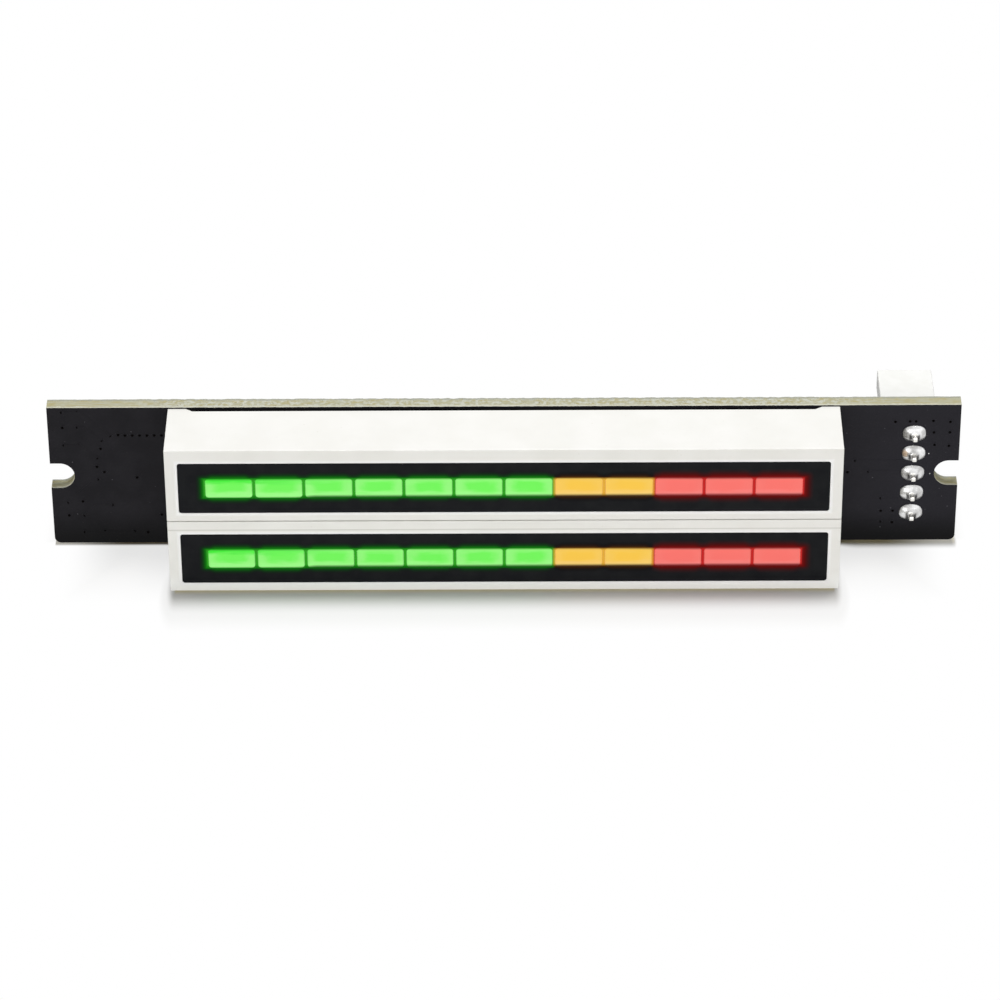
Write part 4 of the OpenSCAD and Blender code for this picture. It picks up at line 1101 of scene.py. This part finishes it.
# Push switches. Each has a black base, a steel cover clipped over it and held by four melted pegs, a
# brass snap dome and a round plunger that clicks 0.25 mm down. The plungers are the moving pieces.
switch_x = {"mode": -21, "speed": -9}
switch_z = -0.45
switch_half, cover_top, plunger_top, plunger_r = 3.0, 3.3, 5.0, 1.75
peg_r, peg_rise, peg_at = 0.5, 0.16, 2.35
peg_places = ((-peg_at, -peg_at), (-peg_at, peg_at), (peg_at, -peg_at), (peg_at, peg_at))
nub_r, plunger_round = 0.6, 0.25
flange_r, flange_low, flange_high, dome_high = 2.15, 2.35, 2.95, 1.93
switch_black = grained("switch_black", (34, 34, 36), (42, 42, 43), 0.3, 0.55, 0.01, gloss=0.35)
cover_steel = grained("cover_steel", (186, 186, 188), (206, 206, 206), 0.5, 0.33, 0.006, metal=1.0)
snap_brass = grained("snap_brass", (206, 184, 118), (218, 200, 138), 0.4, 0.25, 0.004, metal=1.0)
plunger_black = grained("plunger_black", (26, 26, 28), (34, 34, 36), 0.4, 0.38, 0.006, gloss=0.4)
peg_outline = [(0, cover_top - 0.2), (peg_r, cover_top - 0.2), (peg_r, cover_top + 0.05),
               (peg_r * 0.8, cover_top + peg_rise * 0.85), (0, cover_top + peg_rise)]
plunger_outline = [
    (0, dome_high), (nub_r, dome_high), (nub_r, flange_low), (flange_r, flange_low),
    (flange_r, flange_high), (plunger_r, flange_high), (plunger_r, plunger_top - plunger_round),
    *arc(plunger_r - plunger_round, plunger_top - plunger_round, plunger_round, 15, 90, 5), (0, plunger_top)]
for name, x in switch_x.items():
    lay = on_back @ Matrix.Translation((-x, switch_z, 0))
    eased_piece(name + "_base_moulding", name + "_switch_base", "switch_plastic", switch_black, (0.06, 2))
    eased_piece(name + "_cover_pressing", name + "_switch_cover", "cover_steel", cover_steel, (0.07, 2))
    carry(name + "_switch_dome", snap_brass)
    pegs, plunger = bmesh.new(), bmesh.new()
    for at in peg_places:
        lathed(pegs, peg_outline, 24, at)
    drawn_piece(name + "_melted_pegs", pegs, lay, switch_black, "switch_plastic")
    grown_piece(name + "_legs", [gull_wing(1.4, 0.9, 0.15, 0.8)], lead_rows, lay, tinned, "tinned_lead",
                name + "_switch_terminals", Width=0.7, Thickness=0.15, Bend=0.15, Pitch=4.5,
                Half_side=switch_half, Number_in_a_row=2, Number_of_rows=2)
    lathed(plunger, plunger_outline)
    drawn_piece(name + "_cap", plunger, lay, plunger_black, "plunger_plastic", name + "_plunger",
                body=name + "_button")


# Printed marks. White ink on the back outlines most parts for the person who places them, with a dot
# at pin one and a bar at the cathode. There is no lettering.
ink = grained("white_ink", (214, 214, 208), (228, 228, 222), 0.3, 0.6, gloss=0.3)


def box_lines(x, z, half_w, half_h, corner=None):
    """A printed rectangle, whole or only as four corner marks."""
    reach_x, reach_z = (half_w, half_h) if corner is None else (corner, corner)
    return [[(x + sx * (half_w - reach_x), z + sz * half_h), (x + sx * half_w, z + sz * half_h),
             (x + sx * half_w, z + sz * (half_h - reach_z))] for sx in (-1, 1) for sz in (-1, 1)]


marks = box_lines(chip_x, 0, 3.75, 3.75, 0.35)
for x in switch_x.values():
    marks += box_lines(x, switch_z, 3.3, 3.3)
marks += box_lines(supply_x, can_z, 2.95, 2.95, 1.6) + box_lines(contact_x - 0.62, 0, 3.1, 7.7, 2.2)
marks += box_lines(supply_x, diode_z, 2.95, 1.55, 0.5)
marks += [[(supply_x + 2.95, diode_z - 1.2), (supply_x + 2.95, diode_z + 1.2)]]
for x, z in flat_resistors:
    marks += box_lines(x, z, 1.3, 0.68, 0.3)
for x, z in small_capacitors[2:]:
    marks += box_lines(x, z, 1.65, 0.9, 0.35)
marks += box_lines(chip_x + 1.45, -6.3, 2.85, 0.9, 0.35)
ink_t = 3.0 * copper_rise
grown_piece("printed_marks", marks, ribbons, across_back, ink, "white_plastic",
            Width=0.13, Thickness=ink_t, Bend=0.02)
dots = [[(chip_x + 4.6, 4.6)], [(contact_x + 0.9, 7.9)]]
grown_piece("pin_one_dots", dots, rings, across_back, ink, "white_plastic",
            Radius=0.12, Width=0.22, Thickness=ink_t)


# Studio. The meter stands on its lower housing on a white table. A soft lamp hangs above and a little
# behind it, a wide one stands in front, and the camera looks down at it as the photograph does.
base_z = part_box("lower_housing")[0].z
floor_half = 1.5
dim_room = 0.22
display_end, display_front, board_end = 35.25, -8, 48
floor_mesh = bpy.data.meshes.new("table")
floor_mesh.from_pydata([(sx * floor_half, sy * floor_half, base_z)
                        for sx, sy in ((-1, -1), (1, -1), (1, 1), (-1, 1))], [], [(0, 1, 2, 3)])
floor = bpy.data.objects.new("table", floor_mesh)
bpy.context.collection.objects.link(floor)


def seen_rays(tree):
    """1 for rays that carry a picture, straight or mirrored, and 0 for light that falls on things."""
    rays = step(tree, "ShaderNodeLightPath").socket.node.outputs
    straight, mirrored, through = (Value(rays[kind]) for kind in (
        "Is Camera Ray", "Is Glossy Ray", "Is Transmission Ray"))
    return larger(straight, larger(mirrored, through))


def white_table():
    """White paint that keeps the shadow near the meter and is plain white to the camera further out. Near the
    meter its paint is warmer, as painted shade, with a dark painted shadow under the board's lower edge.
    """
    material, place = bare_finish("white_table", gloss=0.2)
    at_x, at_y = axes(place, "XY")

    def away(half_x, low_y, high_y, weight):
        """How far a place is from a footprint, in mm. Distance along X counts by that weight."""
        x, y = at_x / MM, at_y / MM
        past_x = larger(abs(x) - half_x, 0.0) * weight
        past_y = larger(larger(low_y - y, y - high_y), 0.0)
        return root(past_x * past_x + past_y * past_y)

    def right_end(from_left, from_right):
        """A number that changes past the displays' right end."""
        return graded(at_x, 33 * MM, 38 * MM, from_left, from_right)

    before_display = away(display_end - 0.55, display_front, 0, 4.0)
    beside_display = away(display_end, display_front, 0, 1.0)
    from_board, from_edge = away(board_end, 0.8, 1000, 4.0), away(board_end, 0.8, 1.6, 4.0)
    from_board = (from_board - right_end(0.0, 0.3)) / right_end(1.0, 2.6)
    across = abs(at_x / MM)
    warm_shade = graded(smaller(before_display, from_edge), 0.8, 0.0)
    edge_shadow = graded(from_edge, 0.6, 0.1) * graded(across, board_end, board_end - 5) * right_end(1.0, 0.2)
    # Painted shade: the table turns warm tan close to the displays' front and the board's lower edge.
    paint = between(warm_shade, (203, 202, 198), (196, 187, 156))
    # Painted shadow: a dark brown strip on the table right under the board's lower edge, fading toward its
    # ends.
    paint = between(edge_shadow, paint, (116, 103, 79))
    lit = graded(before_display, 0.2, 4.4, 0.0, 0.82) + graded(before_display, 4.5, 8, 0.0, 0.18)
    clear = larger(graded(beside_display, 5, 12), graded(at_y, -1 * MM, -11 * MM))
    past_end = larger(graded(across, 45.5, 49.5), graded(at_y, 3 * MM, 0.8 * MM))
    past_board = smaller(graded(from_board, 0.0, 0.5), past_end)
    behind = graded(at_y, 1.6 * MM, 4.5 * MM, 0.0, 0.72) + graded(at_y, 5 * MM, 15 * MM, 0.0, 0.28)
    board_lit = larger(past_board * 0.72 + clear * 0.28, behind)
    tree = material.node_tree
    white = step(tree, "ShaderNodeEmission", {"Color": (255, 255, 255), "Strength": 1.0})
    painted = Value(tree.nodes["Principled BSDF"].outputs["BSDF"])
    mixed = step(tree, "ShaderNodeMixShader", {
        0: seen_rays(tree) * smaller(lit, board_lit), 1: painted, 2: white})
    plug(tree.nodes["Material Output"], {"Surface": mixed})
    return coat(material, Base_Color=paint, Roughness=0.6)


floor_mesh.materials.append(white_table())


def soft_lamp(name, width, height, power, place):
    """A soft box that points at the meter."""
    light = bpy.data.lights.new(name, "AREA")
    light.shape = "RECTANGLE"
    light.size = width
    light.size_y = height
    light.energy = power
    lamp = bpy.data.objects.new(name, light)
    bpy.context.collection.objects.link(lamp)
    lamp.location = place
    lamp.rotation_euler = (-Vector(place)).to_track_quat("-Z", "Y").to_euler()


soft_lamp("overhead_lamp", 0.25, 0.25, 5.1, (0.05, 0.13, 0.8))
soft_lamp("front_lamp", 1.2, 0.45, 5.5, (-0.05, -0.88, 0.12))

world = bpy.data.worlds.new("white_room")
bpy.context.scene.world = world
world.use_nodes = True
plug(world.node_tree.nodes["Background"], {
    "Color": (255, 255, 255), "Strength": graded(seen_rays(world.node_tree), 0.0, 1.0, dim_room, 1.0)})

camera_data = bpy.data.cameras.new("camera")
camera_data.lens = 177.837
camera_data.clip_start = 0.01
camera_data.clip_end = 20
camera = bpy.data.objects.new("camera", camera_data)
bpy.context.collection.objects.link(camera)
height, turn, tilt = (math.radians(angle) for angle in (34.2353, 0.3002, -0.3714))
toward = Vector((math.sin(turn) * math.cos(height), -math.cos(turn) * math.cos(height), math.sin(height)))
level = Vector((math.cos(turn), math.sin(turn), 0))
upward = toward.cross(level)
camera_x = level * math.cos(tilt) + upward * math.sin(tilt)
camera_y = upward * math.cos(tilt) - level * math.sin(tilt)
aim = Vector((-0.4573, 0, -3.3014)) * MM
camera_away = 524.55
camera.matrix_world = Matrix.Translation(aim + toward * camera_away * MM) @ Matrix(
    (camera_x, camera_y, toward)).transposed().to_4x4()
bpy.context.scene.camera = camera
bpy.context.scene.view_settings.view_transform = "Standard"
